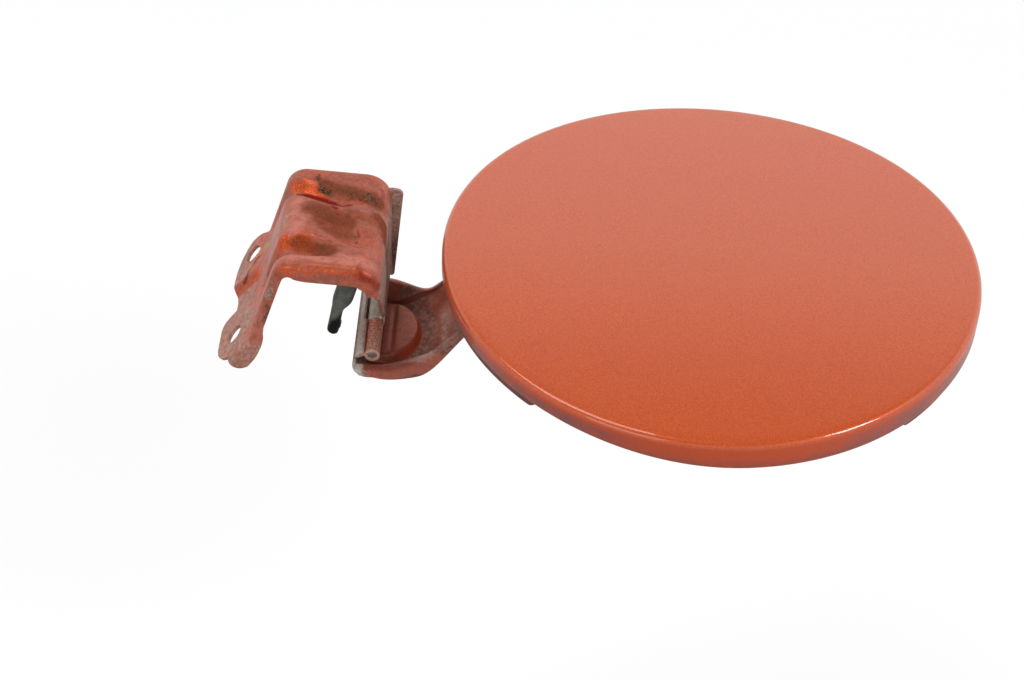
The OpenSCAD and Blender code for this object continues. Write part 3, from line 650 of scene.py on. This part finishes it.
class Nodes:
    """Small helper that writes a node tree."""

    def __init__(self, name):
        self.material = bpy.data.materials.new(name)
        self.material.use_nodes = True
        self.tree = self.material.node_tree
        self.tree.nodes.clear()
        self.out = self.add("ShaderNodeOutputMaterial")
        self.shader = self.add("ShaderNodeBsdfPrincipled")
        self.tree.links.new(self.shader.outputs[0], self.out.inputs["Surface"])
        self.place = self.add("ShaderNodeTexCoord").outputs["Object"]

    def add(self, kind, **settings):
        n = self.tree.nodes.new(kind)
        for k, v in settings.items():
            setattr(n, k, v)
        return n

    def put(self, socket, value):
        if isinstance(value, bpy.types.NodeSocket):
            self.tree.links.new(value, socket)
        else:
            socket.default_value = value

    def noise(self, scale, detail=3, rough=0.55, distortion=0.0):
        n = self.add("ShaderNodeTexNoise")
        self.put(n.inputs["Vector"], self.place)
        for k, v in (("Scale", scale), ("Detail", detail), ("Roughness", rough), ("Distortion", distortion)):
            n.inputs[k].default_value = v
        return n.outputs["Fac"]

    def cells(self, scale):
        n = self.add("ShaderNodeTexVoronoi")
        self.put(n.inputs["Vector"], self.place)
        n.inputs["Scale"].default_value = scale
        return n

    def ramp(self, fac, low, high, a=0.0, b=1.0):
        n = self.add("ShaderNodeMapRange", interpolation_type="SMOOTHSTEP")
        self.put(n.inputs["Value"], fac)
        for k, v in (("From Min", low), ("From Max", high), ("To Min", a), ("To Max", b)):
            n.inputs[k].default_value = v
        return n.outputs["Result"]

    def math(self, op, a, b=0.5, c=None):
        n = self.add("ShaderNodeMath", operation=op)
        self.put(n.inputs[0], a)
        self.put(n.inputs[1], b)
        if c is not None:
            self.put(n.inputs[2], c)
        return n.outputs[0]

    def mask(self, name):
        return self.add("ShaderNodeAttribute", attribute_name=name).outputs["Fac"]

    def blend(self, fac, a, b):
        n = self.add("ShaderNodeMix", data_type="RGBA")
        self.put(n.inputs["Factor"], fac)
        self.put(n.inputs["A"], (*a, 1) if isinstance(a, tuple) else a)
        self.put(n.inputs["B"], (*b, 1) if isinstance(b, tuple) else b)
        return n.outputs["Result"]

    def number(self, fac, a, b):
        n = self.add("ShaderNodeMix", data_type="FLOAT")
        self.put(n.inputs["Factor"], fac)
        self.put(n.inputs["A"], a)
        self.put(n.inputs["B"], b)
        return n.outputs["Result"]

    def bump(self, height, distance, strength=1.0, normal=None):
        n = self.add("ShaderNodeBump")
        n.inputs["Strength"].default_value = strength
        n.inputs["Distance"].default_value = distance
        self.put(n.inputs["Height"], height)
        if normal is not None:
            self.put(n.inputs["Normal"], normal)
        return n.outputs[0]

    def set(self, **values):
        for k, v in values.items():
            self.put(self.shader.inputs[k.replace("_", " ")], v)
        return self


def rgb(r, g, b):
    """A colour given as it is seen, 0 to 255."""
    return tuple(((c / 255 + 0.055) / 1.055) ** 2.4 if c > 10 else c / 255 / 12.92 for c in (r, g, b))


def flake(m, base_a, base_b, scale=9000):
    """Metallic flake: tiny cells, each with its own shade."""
    cells = m.cells(scale)
    shade = m.ramp(m.math("FRACT", m.math("MULTIPLY", cells.outputs["Color"], 3.7)), 0.0, 1.0)
    tone = m.blend(shade, base_a, base_b)
    return tone, cells


def dress(obj, m):
    obj.data.materials.clear()
    obj.data.materials.append(m.material)


p = points_of(skin)
turn = np.degrees(np.arctan2(p[:, 1], p[:, 0] - FLAP_X))
below = FACE - crown(p[:, 1]) - p[:, 2]
outer = rise(np.hypot(p[:, 0] - FLAP_X, p[:, 1]), FLAP_R - 2, FLAP_R - 0.6)
paint_mask(skin, "skirt", rise(below, 0.7, 2.2) * outer)
ends = most(1 - rise(turn, -118, -100), rise(turn, -74, -52))
# Painted reflection: a mauve sheen on the skirt's two ends and lower part, standing in for the room seen in the paint
paint_mask(skin, "mauve_reflection", most(rise(below, 2.0, 4.0) * ends, rise(below, 3.4, 7) * (0.35 + 0.65 * ends)) * outer)
# Darker towards the skirt's lower edge, strongest on the flap's left side
paint_mask(skin, "darker_low_edge", rise(below + 0.6 * noise(p, 3.0), 5.8, 8.3) * outer * (0.35 + 0.65 * (1 - rise(turn, -150, -112))))

m = Nodes("orange_metallic")
tone, cells = flake(m, rgb(179, 67, 18), rgb(201, 85, 32), 3800)
cloud = m.noise(90, 3)
tone = m.blend(m.ramp(cloud, 0.35, 0.7, 0, 0.3), tone, rgb(190, 80, 34))
skirt = m.mask("skirt")
tone = m.blend(m.math("MULTIPLY", skirt, 0.6), tone, rgb(196, 74, 36))
# Painted reflection: the mauve laid over the skirt below, broken up in blotches
blotch = m.ramp(m.noise(170, 5, 0.65), 0.3, 0.62, 0.35, 1)
tone = m.blend(m.math("MULTIPLY", m.mask("mauve_reflection"), blotch), tone, m.blend(m.noise(260, 3), rgb(150, 78, 74), rgb(128, 76, 70)))
# Darker towards the skirt's lower edge, in patches
tone = m.blend(m.math("MULTIPLY", m.mask("darker_low_edge"), m.ramp(m.noise(420, 5, 0.7), 0.3, 0.55)), tone, rgb(84, 66, 60))
m.set(Base_Color=tone, Metallic=m.number(skirt, 0.2, 0.1), Specular_IOR_Level=0.25,
      Roughness=m.number(skirt, m.number(m.noise(600, 2), 0.4, 0.5), 0.55),
      Coat_Weight=m.number(skirt, 1.0, 0.22), Coat_Roughness=0.06,
      Normal=m.bump(m.noise(1400, 2, 0.6), 0.00002, 0.5))
dress(skin, m)

m = Nodes("inner_panel_paint")
grime = m.ramp(m.noise(110, 6, 0.7), 0.3, 0.72)
tone = m.blend(grime, rgb(132, 78, 62), rgb(98, 74, 66))
tone = m.blend(m.ramp(m.noise(900, 4, 0.7), 0.62, 0.75, 0, 0.6), tone, rgb(76, 66, 60))
m.set(Base_Color=tone, Metallic=0.1, Roughness=m.number(grime, 0.55, 0.85), Specular_IOR_Level=0.3,
      Normal=m.bump(m.noise(900, 4), 0.00004, 0.6))
dress(web, m)

# Saddle's paint, dirt and rust, with painted highlights, sheen and shade, placed along listed lines

p = points_of(saddle)
x, y, z = p.T
eye_far = np.hypot(x, z)
w = p + 0.9 * np.stack([noise(p, 2.4, k) for k in (1, 2, 3)], axis=1)
# Painted highlight: saturated paint with bright glints on the valley walls, folds and joggle that face the viewer,
# partly cleaner paint in the hollows
paint_mask(saddle, "clean_orange_highlight", most(
    streak(w, 2.6, (-27.5, 16.6, 39.2), (-24, 15.8, 41.3), (-21.6, 14.4, 40.9), (-18, 13, 40.4)),
    streak(w, 3.2, (-29.5, -11, 38), (-26.5, -11.8, 40.5), (-23.9, -11.9, 41.2), (-20, -13.4, 39.8)),
    0.6 * streak(w, 2.0, (-26, -26.2, 40.2), (-14.2, -25.9, 41.1), (-4, -26, 40)),
    0.3 * streak(w, 3.2, (-9, 1.6, 41.9), (-4.4, 0.1, 41.6), (0.6, 0.6, 39.5)),
    0.9 * streak(w, 1.5, (-37.5, 7.5, 15.9), (-38.3, 6, 13.7), (-39.7, 5.5, 11.5)),
    0.55 * streak(w, 1.6, (-41.7, 5.5, 9.2), (-44.2, 5.9, 6.6), (-45.9, 5.8, 4.5)),
    0.12 * (1 - rise(y, -26.5, -24)) * (1 - rise(z, 10, 16)),
    0.25 * streak(w, 2.5, (-33.6, -26.4, 29), (-31.4, -26, 34))))
# Painted sheen: pale pink on the up-facing ridges and the foot, standing in for the bright room reflected there; the
# paint there is also duller
paint_mask(saddle, "pink_sheen", most(
    streak(w, 3.6, (-28.4, -6, 40.9), (-27.1, 0.2, 41.8), (-25, 4.6, 42.6), (-22.7, 6.7, 42.7)),
    streak(w, 3.2, (-23.8, -1.2, 42.7), (-25, -7.8, 42.6)),
    streak(w, 2.6, (-27, -21.5, 41.5), (-24.4, -21.8, 42.7), (-15.6, -21.1, 42.2), (-6.3, -21.8, 41.7), (0.4, -21.1, 39.6)),
    0.3 * streak(w, 3, (-24, 22, 42), (-8, 22, 42)),
    0.9 * (1 - rise(z, 20, 30)) * (1 - rise(x, -27, -20)) * (1 - hill(y, 3.4, 4.6, 7.4, 8.6)) * rise(y, -29, -24)))
paint_mask(saddle, "grime", most(
    0.75 * streak(w, 1.0, (-20.5, 20.3, 42.5), (-19.9, 17.2, 42.5), (-18.7, 14.7, 41.6)),
    0.95 * streak(w, 1.4, (-18.7, 14.7, 41.6), (-17.3, 13.5, 41), (-15.8, 13.4, 41.2)),
    0.6 * streak(w, 1.6, (-18.6, 17.4, 42.4), (-15.9, 15.7, 42.3)),
    0.9 * streak(w, 1.5, (-3.2, 13.1, 41.4), (-1.8, 12, 40.6), (-0.9, 11.3, 40)),
    0.7 * streak(w, 1.1, (-15.6, -15, 40.5)),
    0.62 * streak(w, 2.2, (-14.5, 13.8, 41.8), (-10.9, 13, 41.8), (-7.3, 12.1, 41.5), (-4, 11.4, 41), (-0.8, 10.8, 39.6)),
    0.45 * streak(w, 2.6, (-19.5, 3.2, 42.4), (-16.2, 1.7, 42.1), (-12.8, -0.5, 42), (-9.5, -2.6, 41.9)),
    0.72 * streak(w, 2.1, (-32.2, -26.2, 25), (-31.9, -26.3, 23), (-33, -26.2, 20)),
    0.45 * streak(w, 0.8, (-39.1, -4.9, 10.8)),
    0.6 * streak(w, 0.7, (-41.2, 11.2, 11.6), (-42.9, 9.7, 9.6), (-43.7, 7, 8.4))))
# Brown dirt, and painted shade on the shoulder where the top turns down to the right leg, on the right leg and in the
# near valley
paint_mask(saddle, "brown_dirt_and_shade", most(
    streak(w, 4.2, (-20.5, 3.2, 42.4), (-16.2, 1.7, 42.1), (-12.8, -0.5, 42), (-8.5, -2.6, 41.9)),
    0.6 * streak(w, 4.2, (-9, 1.6, 41.9), (-4.4, 0.1, 41.6), (1, 0.3, 39.5)),
    0.7 * streak(w, 3.6, (-18.1, -1.7, 41.4), (-13.8, -4.5, 40.6), (-8, -8, 40)),
    0.35 * streak(w, 3, (-12, 20, 42), (0, 19, 41)),
    0.8 * streak(w, 2, (-20, 18, 42.5), (-18, 15, 41.8)),
    0.9 * streak(w, 4.0, (-17, 15.5, 41.8), (-10.9, 13.5, 41.8), (-5, 12.1, 41), (-0.6, 11.5, 39.8)),
    streak(w, 4.4, (1.2, 3, 39), (2.8, -1, 36), (3.4, -4, 30)),
    streak(w, 3.0, (-23, -12.6, 40.5), (-20.1, -13.4, 39.8), (-16.8, -15, 40), (-12.5, -16.9, 41)),
    0.3 * streak(w, 1.2, (-18.2, -26.3, 37.1), (-12.1, -26.2, 37.6), (-5.9, -26.3, 36)),
    0.8 * streak(w, 1.2, (-39.5, 13.5, 13), (-41.7, 11.2, 11.1), (-44, 6.8, 8)),
    0.4 * rise(x, 2.2, 3.3) * (1 - rise(z, 34, 40))))
# Painted shade: dark red lines in the grooves, creases and dents
paint_mask(saddle, "dark_red_shade", most(
    0.75 * streak(w, 0.9, (-27.5, 14.9, 38.6), (-22.7, 12.2, 39.9), (-11, 8.2, 40), (-8.6, 7.4, 40.3)),
    streak(p, 1.3, (-23.5, 12.4, 39.6), (-18.8, 11.4, 39.8), (-14, 9.2, 39.6)),
    0.95 * streak(w, 0.8, (-14, 4.9, 42.2), (-13.2, 4, 42.2)),
    0.6 * streak(w, 0.8, (-12.3, 1, 42.1)),
    0.6 * streak(w, 1.5, (0.7, 17, 39.4), (1.4, 15.5, 38.6)),
    0.8 * streak(w, 0.6, (-10.7, 10.4, 40.6), (-5.8, 10, 40.8), (-1.4, 10.4, 39.9)),
    0.7 * streak(w, 0.5, (-5, -5.5, 41.2), (-5.3, -7.7, 40.1), (-4.7, -11.6, 40)),
    0.6 * streak(w, 2.6, (-3, -26.1, 39.9), (-0.4, -26.1, 38.1), (2.4, -25.6, 35)),
    0.5 * streak(w, 0.7, (-18.2, -10.4, 42.4), (-14.9, -12.6, 42.1), (-10.7, -14.5, 42), (-6.9, -14.5, 41.4))))
# Grey primer on edges and feet, and partly painted light: pale highlight lines down the left leg, and the right leg
# and far tab lightened as if lit where they lie in shade
paint_mask(saddle, "primer_and_highlight", most(
    0.9 * streak(w, 1.6, (3.2, -26, 34), (3.5, -18, 31), (3.5, -12, 20), (3.4, -2, 12)),
    0.8 * streak(w, 3.4, (-39.9, -9.8, 9.9), (-40.3, -16.6, 9.3), (-42.8, -18.2, 6.3), (-45.1, -21.7, 3.7)),
    0.75 * streak(w, 3.4, (-45.4, 18.3, 6.7), (-45.6, 11.7, 6.5)),
    0.7 * streak(w, 2.6, (-40.1, -2.4, 9.6), (-39.5, -5, 10.2)),
    0.9 * streak(w, 1.2, (-30.4, -25.9, 35.1), (-30.8, -26.1, 32.2), (-31.5, -26.2, 29)),
    0.75 * streak(w, 0.9, (-32.2, 3.3, 31.9), (-32.5, -5.9, 31), (-34, -11.4, 24), (-35.3, -17.3, 20.6), (-36.7, -22.5, 17.5)),
    0.9 * rise(x, 2.2, 3.2) * (1 - rise(z, 31, 38)),
    0.9 * rise(x, 1.9, 2.4) * (1 - rise(z, 13, 16)) * rise(z, 2.6, 3.4),
    0.75 * streak(w, 1.1, (-33, -6, 30), (-30.6, -3, 36.5), (-28.6, -8, 40), (-27.8, 2, 41)),
    0.7 * streak(w, 1.0, (-36.5, -18, 20), (-33.5, -20, 28), (-29.5, -21, 38)),
    0.9 * rise(y, 22.2, 22.6) * rise(x, 0.4, 0.9) * (1 - rise(z, 35.8, 37)),
    0.5 * streak(w, 1.3, (-29, -26.3, 35), (-18.2, -26.3, 36.8), (-12.1, -26.2, 37.2), (-5.9, -26.3, 35.6)),
    0.62 * (1 - rise(z, 7, 18)) * (1 - rise(x, -34, -28)) * (1 - hill(y, 3.4, 4.6, 7.4, 8.6))))
paint_mask(saddle, "eye", 1 - rise(eye_far, 2.95, 3.6))
paint_mask(saddle, "rust", most(
    0.95 * streak(w, 1.3, (-35.6, 11, 21), (-36.9, 14, 17), (-38, 17, 15)),
    0.8 * streak(w, 0.8, (-38.6, 19.1, 14.1), (-40, 16.6, 12.6), (-40.6, 13.5, 12.1), (-42, 11.6, 10.8), (-43.5, 10.1, 9))))

m = Nodes("bracket_paint")


def patch(m, name, scale=420.0, spread=0.6, low=0.15, high=0.85):
    """A painted mask with its edge broken up by noise."""
    return m.ramp(m.math("ADD", m.mask(name), m.math("MULTIPLY_ADD", m.noise(scale, 5, 0.65), spread, -0.5 * spread)),
                  low, high)


def over(m, tone, fac, amount, paint):
    return m.blend(m.math("MULTIPLY", fac, amount), tone, paint)


tone, cells = flake(m, rgb(188, 94, 70), rgb(166, 82, 60), 6000)
tone = m.blend(m.ramp(m.noise(150, 4), 0.4, 0.65, 0, 0.6), tone, rgb(160, 92, 76))
tone = over(m, tone, m.ramp(m.noise(900, 5, 0.75), 0.46, 0.68), 0.7, rgb(128, 62, 42))
tone = over(m, tone, m.ramp(m.noise(1000, 5, 0.8, 0.5), 0.56, 0.72), 0.5, rgb(216, 140, 112))
stain = m.ramp(m.noise(300, 7, 0.75, 0.8), 0.44, 0.66)
# Painted highlight: bright glints over the cleaner saturated paint
clean_orange_highlight = patch(m, "clean_orange_highlight")
tone = m.blend(clean_orange_highlight, tone, m.blend(m.ramp(m.noise(1500, 4, 0.7), 0.5, 0.72), rgb(198, 76, 30), rgb(246, 140, 92)))
# Painted sheen: pale pink on up-facing surfaces
pink_sheen = patch(m, "pink_sheen", 240)
tone = over(m, tone, pink_sheen, 0.9, m.blend(m.noise(700, 5, 0.7), rgb(204, 124, 106), rgb(184, 112, 98)))
# Grey primer, partly painted light on the left leg's lines, the right leg and the tab
primer_and_highlight = patch(m, "primer_and_highlight", 600, 0.9, 0.3, 0.8)
tone = over(m, tone, primer_and_highlight, 0.85, m.blend(m.ramp(m.noise(800, 5, 0.7), 0.35, 0.65), rgb(186, 160, 148), rgb(140, 112, 100)))
tone = over(m, tone, m.mask("eye"), 0.95, m.blend(m.noise(500, 3), rgb(222, 224, 210), rgb(188, 188, 172)))
speck = m.ramp(m.noise(2300, 4, 0.75), 0.42, 0.62)
tone = over(m, tone, stain, 0.55, m.blend(m.noise(200, 2), rgb(138, 62, 40), rgb(122, 74, 54)))
# Brown dirt, partly painted shade on the right shoulder and in the near valley
brown_dirt_and_shade = patch(m, "brown_dirt_and_shade")
tone = over(m, tone, m.math("MULTIPLY", brown_dirt_and_shade, m.number(speck, 0.65, 1.0)), 0.92, rgb(98, 48, 24))
# Painted shade in the grooves, creases and dents
crease_shade = patch(m, "dark_red_shade", 600, 0.4)
tone = over(m, tone, crease_shade, 0.95, rgb(120, 22, 6))
rust = patch(m, "rust", 900, 0.9, 0.3, 0.8)
tone = m.blend(rust, tone, m.blend(m.noise(1400, 4, 0.7), rgb(146, 98, 60), rgb(208, 176, 122)))
grime = m.math("MAXIMUM", patch(m, "grime", 1500, 1.3, 0.4, 0.95), m.ramp(m.noise(1700, 4, 0.7), 0.64, 0.74, 0, 0.6))
tone = m.blend(grime, tone, m.blend(m.ramp(m.noise(1900, 4, 0.7), 0.5, 0.64), rgb(44, 38, 26), rgb(128, 112, 96)))
dull = m.math("MAXIMUM", m.math("MAXIMUM", brown_dirt_and_shade, grime), m.math("MAXIMUM", m.math("MAXIMUM", primer_and_highlight, m.mask("eye")), rust))
m.set(Base_Color=tone, Metallic=m.number(dull, m.number(clean_orange_highlight, 0.3, 0.65), 0.0),
      Roughness=m.number(m.math("MAXIMUM", dull, m.math("MULTIPLY", pink_sheen, 0.7)), m.number(clean_orange_highlight, 0.42, 0.3), 0.78),
      Specular_IOR_Level=m.number(m.math("MAXIMUM", m.math("MAXIMUM", brown_dirt_and_shade, grime), crease_shade), 0.3, 0.1),
      Normal=m.bump(m.math("MULTIPLY", m.noise(2800, 3), m.number(clean_orange_highlight, 1.0, 2.5)), 0.00005, 0.8,
                    m.bump(m.math("MULTIPLY_ADD", grime, 0.8, m.noise(600, 5, 0.6)), 0.00014, 0.7)))
dress(saddle, m)

# Arm's paint and primer, with painted highlights and shade

p = points_of(arm)
x, y, z = p.T
around = np.hypot((x - 3.1) / 11.8, y / 14.4)
in_eye = (1 - rise(np.hypot(x, z), 2.55, 2.7)) * hill(y, -18.3, -18, -2, -1.7)
paint_mask(arm, "speckle", in_eye)
# Grey primer on the curl's outer face and the neck, partly a painted highlight along the near ridge's crest
paint_mask(arm, "primer_and_highlight", most(0.95 * (1 - rise(x, -2.9, -2.2)) * rise(z, -5, -3), 0.75 * (1 - rise(x, -5, 3)) * (1 - rise(z, -1.5, -0.5)),
                               0.6 * rise(x, 11, 16) * streak(p, 2.4, (12, -18, -1.1), (17, -17, 0), (24, -16.6, 6), (30, -16.6, 12)),
                               0.55 * streak(p, 3.4, (16.6, 13, -1), (21, 7, -0.7), (23, 0, 0), (22, -8, 0), (19, -13, 0)),
                               0.7 * hill(z, 0, 5, 16, 26) * (1 - rise(np.abs(y), 15, 18))))
# Painted highlight: a near-white band where the curl rolls over into the eye, and the curl's near end lightened where
# it lies in shade
paint_mask(arm, "bright", most((1 - rise(x, -3.6, -2.4)) * rise(z, 0.2, 0.9), 0.8 * (1 - rise(x, -3.4, -2.6)) * (1 - rise(y, -18.6, -17.8))))
# Dirt, and painted shade in the valley around the raised panel; also dirt on the neck and the lower flank edges
paint_mask(arm, "dirt_and_shade", most(0.9 * hill(around, 0.99, 1.06, 1.3, 1.7) * rise(x, 3, 9),
                             0.7 * rise(z, -1, 4), 0.8 * (1 - rise(z, -6.4, -4.4)) * rise(np.abs(y), 18, 19.5)))
# Painted highlight: a pale band along the near ridge's crest
paint_mask(arm, "pink_sheen", 0.8 * streak(p, 1.5, (3, -19.5, -1.1), (12, -18, -1.1), (17, -17, 0), (24, -16.6, 6)))
# Painted highlight: a saturated band on the raised panel's rounded rim
paint_mask(arm, "edge", hill(around, 0.84, 0.93, 0.98, 1.03) * rise(x, 6, 10))
# Painted shade: a dark red stripe on the inner wall of each side ridge
paint_mask(arm, "dark_red_shade", 0.9 * hill(np.abs(y), 14.6, 15.6, 16, 17) * hill(x, 2, 5, 20, 26))
paint_mask(arm, "ring", (1 - rise(np.hypot(x, z), 2.55, 2.7)) * (1 - rise(y, -18.05, -17.6)) * rise(y, -18.4, -18.2))

m = Nodes("arm_paint")
tone, cells = flake(m, rgb(184, 96, 74), rgb(162, 84, 64), 6000)
tone = m.blend(m.ramp(m.noise(200, 5, 0.65), 0.42, 0.66, 0, 0.6), tone, rgb(140, 78, 62))
tone = over(m, tone, m.ramp(m.noise(1100, 5, 0.7), 0.46, 0.72), 0.5, rgb(100, 50, 38))
# Painted highlight along the near ridge
tone = m.blend(patch(m, "pink_sheen", 400), tone, rgb(176, 120, 106))
# Grey primer, partly a painted highlight on the near ridge
primer_and_highlight = patch(m, "primer_and_highlight", 700, 0.8, 0.25, 0.8)
tone = over(m, tone, primer_and_highlight, 0.9, m.blend(m.ramp(m.noise(900, 5, 0.7), 0.35, 0.65), rgb(190, 176, 168), rgb(132, 108, 98)))
# Painted highlight on the curl's roll and near end
tone = over(m, tone, m.mask("bright"), 0.85, m.blend(m.noise(900, 4), rgb(240, 234, 222), rgb(206, 192, 176)))
# Painted highlight on the raised panel's rim
tone = over(m, tone, patch(m, "edge", 500), 0.7, rgb(206, 92, 54))
# Dirt, partly painted shade around the raised panel
dirt_and_shade = patch(m, "dirt_and_shade", 500, 0.7, 0.3, 0.8)
tone = over(m, tone, dirt_and_shade, 0.75, m.blend(m.ramp(m.noise(420, 5, 0.75, 1.0), 0.4, 0.62), rgb(96, 64, 54), rgb(150, 116, 106)))
# Painted shade on the side ridges' inner walls
tone = over(m, tone, patch(m, "dark_red_shade", 500, 0.4, 0.3, 0.7), 0.8, rgb(108, 36, 24))
speckle = m.mask("speckle")
grit = m.noise(1700, 5, 0.75)
tone = m.blend(speckle, tone, m.blend(m.ramp(grit, 0.44, 0.6), rgb(204, 100, 74), m.blend(m.noise(500, 2), rgb(252, 182, 146), rgb(238, 200, 180))))
tone = over(m, tone, m.mask("ring"), 0.8, m.blend(m.noise(1500, 3), rgb(230, 210, 198), rgb(184, 144, 130)))
dull = m.math("MAXIMUM", m.math("MAXIMUM", primer_and_highlight, dirt_and_shade), m.math("MULTIPLY", speckle, 0.6))
m.set(Base_Color=tone, Metallic=m.number(dull, 0.3, 0.0), Roughness=m.number(dull, 0.4, 0.78), Specular_IOR_Level=0.4,
      Normal=m.bump(grit, 0.00008, 0.7, m.bump(m.noise(700, 5, 0.6), 0.00006, 0.55)))
dress(arm, m)

p = points_of(stop)
paint_mask(stop, "tip", rise(0.9 * (p[:, 0] + 15.5) - p[:, 2] + 0.9 * noise(p, 1.6), 3.0, 5.5) * (1 - rise(p[:, 2], 1, 4)))

m = Nodes("stop_rubber")
dust = m.ramp(m.noise(300, 5), 0.4, 0.7)
tip = m.mask("tip")
tone = m.blend(dust, rgb(88, 94, 92), rgb(128, 132, 122))
m.set(Base_Color=m.blend(m.math("MULTIPLY", tip, 0.96), tone, rgb(14, 15, 13)),
      Roughness=m.number(tip, m.number(dust, 0.55, 0.85), 0.45), Specular_IOR_Level=m.number(tip, 0.3, 0.08),
      Normal=m.bump(m.noise(900, 5, 0.7), 0.00012, 0.7))
dress(stop, m)

m = Nodes("black_rubber")
dust = m.ramp(m.noise(300, 5), 0.4, 0.7)
m.set(Base_Color=m.blend(dust, rgb(34, 34, 35), rgb(62, 61, 60)), Roughness=m.number(dust, 0.55, 0.85),
      Normal=m.bump(m.noise(1500, 4), 0.00004, 0.6))
for side in ("near", "far"):
    dress(bpy.data.objects["rubber_buffer_" + side], m)

m = Nodes("zinc")
spots = m.ramp(m.noise(260, 5), 0.35, 0.7)
m.set(Base_Color=m.blend(spots, rgb(196, 190, 160), rgb(150, 140, 116)), Metallic=0.9,
      Roughness=m.number(spots, 0.3, 0.5), Normal=m.bump(m.noise(1800, 3), 0.00002, 0.5))
dress(frame["nodes"]["latch_striker"], m)

m = Nodes("dull_steel")
spots = m.ramp(m.noise(420, 5), 0.4, 0.7)
m.set(Base_Color=m.blend(spots, rgb(206, 192, 176), rgb(158, 140, 122)), Metallic=0.8,
      Roughness=m.number(spots, 0.35, 0.6), Normal=m.bump(m.noise(2200, 3), 0.00002, 0.6))
dress(pin, m)
dress(rivet, m)

# Camera: the photograph's, solved from the flap's outline and the bracket's edges

ELEVATION, ROLL = math.radians(40.9), math.radians(2.69)
ahead = np.array([math.sin(ROLL) * math.cos(ELEVATION), -math.cos(ROLL) * math.cos(ELEVATION), -math.sin(ELEVATION)])
right = np.array([math.cos(ROLL), math.sin(ROLL), 0])
up = np.cross(right, ahead)
up = -up if up[2] < 0 else up
C = np.array([63.3, -27.4, 698.3])
M = np.stack([right, up, ahead], 1)
eye = -(M.T @ C) - np.array([-106.6, 0, -34])

camera_data = bpy.data.cameras.new("camera")
camera_data.sensor_width = 36
camera_data.lens = 2200 / 1024 * 36
camera_data.clip_start = 0.01
camera_data.clip_end = 20
camera = bpy.data.objects.new("camera", camera_data)
bpy.context.scene.collection.objects.link(camera)
X, D, Fw = M.T @ np.array([1, 0, 0]), M.T @ np.array([0, 1, 0]), M.T @ np.array([0, 0, 1])
at = world(eye)
camera.matrix_world = Matrix([[X[i], -D[i], -Fw[i], at[i]] for i in range(3)] + [[0, 0, 0, 1]])
bpy.context.scene.camera = camera

# Floor, world and lamps

bpy.ops.mesh.primitive_plane_add(size=6, location=(0.06, 0, -0.21))
floor = bpy.context.object
floor.name = "floor"
m = Nodes("floor")
tree = m.tree
path = m.add("ShaderNodeLightPath")
glow = m.add("ShaderNodeEmission")
glow.inputs["Color"].default_value = (1, 1, 1, 1)
seen = m.math("MAXIMUM", path.outputs["Is Camera Ray"], path.outputs["Is Glossy Ray"])
seen = m.math("MAXIMUM", seen, path.outputs["Is Transmission Ray"])
tree.links.new(m.math("MULTIPLY", seen, 0.78), glow.inputs["Strength"])
both = m.add("ShaderNodeAddShader")
tree.links.new(m.shader.outputs[0], both.inputs[0])
tree.links.new(glow.outputs[0], both.inputs[1])
tree.links.new(both.outputs[0], m.out.inputs["Surface"])
m.set(Base_Color=m.blend(m.noise(4, 2), rgb(128, 128, 129), rgb(132, 132, 133)), Roughness=1.0, Specular_IOR_Level=0.0)
dress(floor, m)


def studio():
    """A pale room that is bright low down behind the part and dim overhead, white where the camera sees it."""
    sky = bpy.data.worlds.new("studio")
    bpy.context.scene.world = sky
    sky.use_nodes = True
    tree = sky.node_tree
    glow = tree.nodes["Background"]
    place = tree.nodes.new("ShaderNodeTexCoord")
    parts = tree.nodes.new("ShaderNodeSeparateXYZ")
    fall = tree.nodes.new("ShaderNodeMapRange")
    fall.interpolation_type = "SMOOTHSTEP"
    for k, v in (("From Min", 0.6), ("From Max", 0.8), ("To Min", 1.2), ("To Max", 0.15)):
        fall.inputs[k].default_value = v
    turn = tree.nodes.new("ShaderNodeMapRange")
    for k, v in (("From Min", -0.5), ("From Max", 0.5), ("To Min", 0.65), ("To Max", 1.0)):
        turn.inputs[k].default_value = v
    both = tree.nodes.new("ShaderNodeMath")
    both.operation = "MULTIPLY"
    path = tree.nodes.new("ShaderNodeLightPath")
    pick = tree.nodes.new("ShaderNodeMix")
    pick.inputs["B"].default_value = 1.0
    tree.links.new(place.outputs["Generated"], parts.inputs[0])
    tree.links.new(parts.outputs["Z"], fall.inputs["Value"])
    tree.links.new(parts.outputs["Y"], turn.inputs["Value"])
    tree.links.new(fall.outputs["Result"], both.inputs[0])
    tree.links.new(turn.outputs["Result"], both.inputs[1])
    tree.links.new(path.outputs["Is Camera Ray"], pick.inputs["Factor"])
    tree.links.new(both.outputs[0], pick.inputs["A"])
    tree.links.new(pick.outputs["Result"], glow.inputs["Strength"])
    glow.inputs["Color"].default_value = (1, 1, 1, 1)


studio()


def softbox(name, at, aim, size, power):
    data = bpy.data.lights.new(name, "AREA")
    data.shape = "RECTANGLE"
    data.size, data.size_y = size
    data.energy = power
    obj = bpy.data.objects.new(name, data)
    bpy.context.scene.collection.objects.link(obj)
    obj.location = Vector(at)
    obj.rotation_euler = (Vector(aim) - Vector(at)).to_track_quat("-Z", "Y").to_euler()


softbox("key", (-0.35, 0.1, 1.5), (0.1, 0, 0), (0.8, 0.8), 9)
softbox("fill", (-0.6, -1.3, 0.75), (0.05, 0, 0), (0.8, 0.8), 3.5)
softbox("side", (1.2, -0.6, 1.0), (0.05, 0, 0), (0.4, 0.4), 10)

scene = bpy.context.scene
scene.view_settings.view_transform = "Standard"
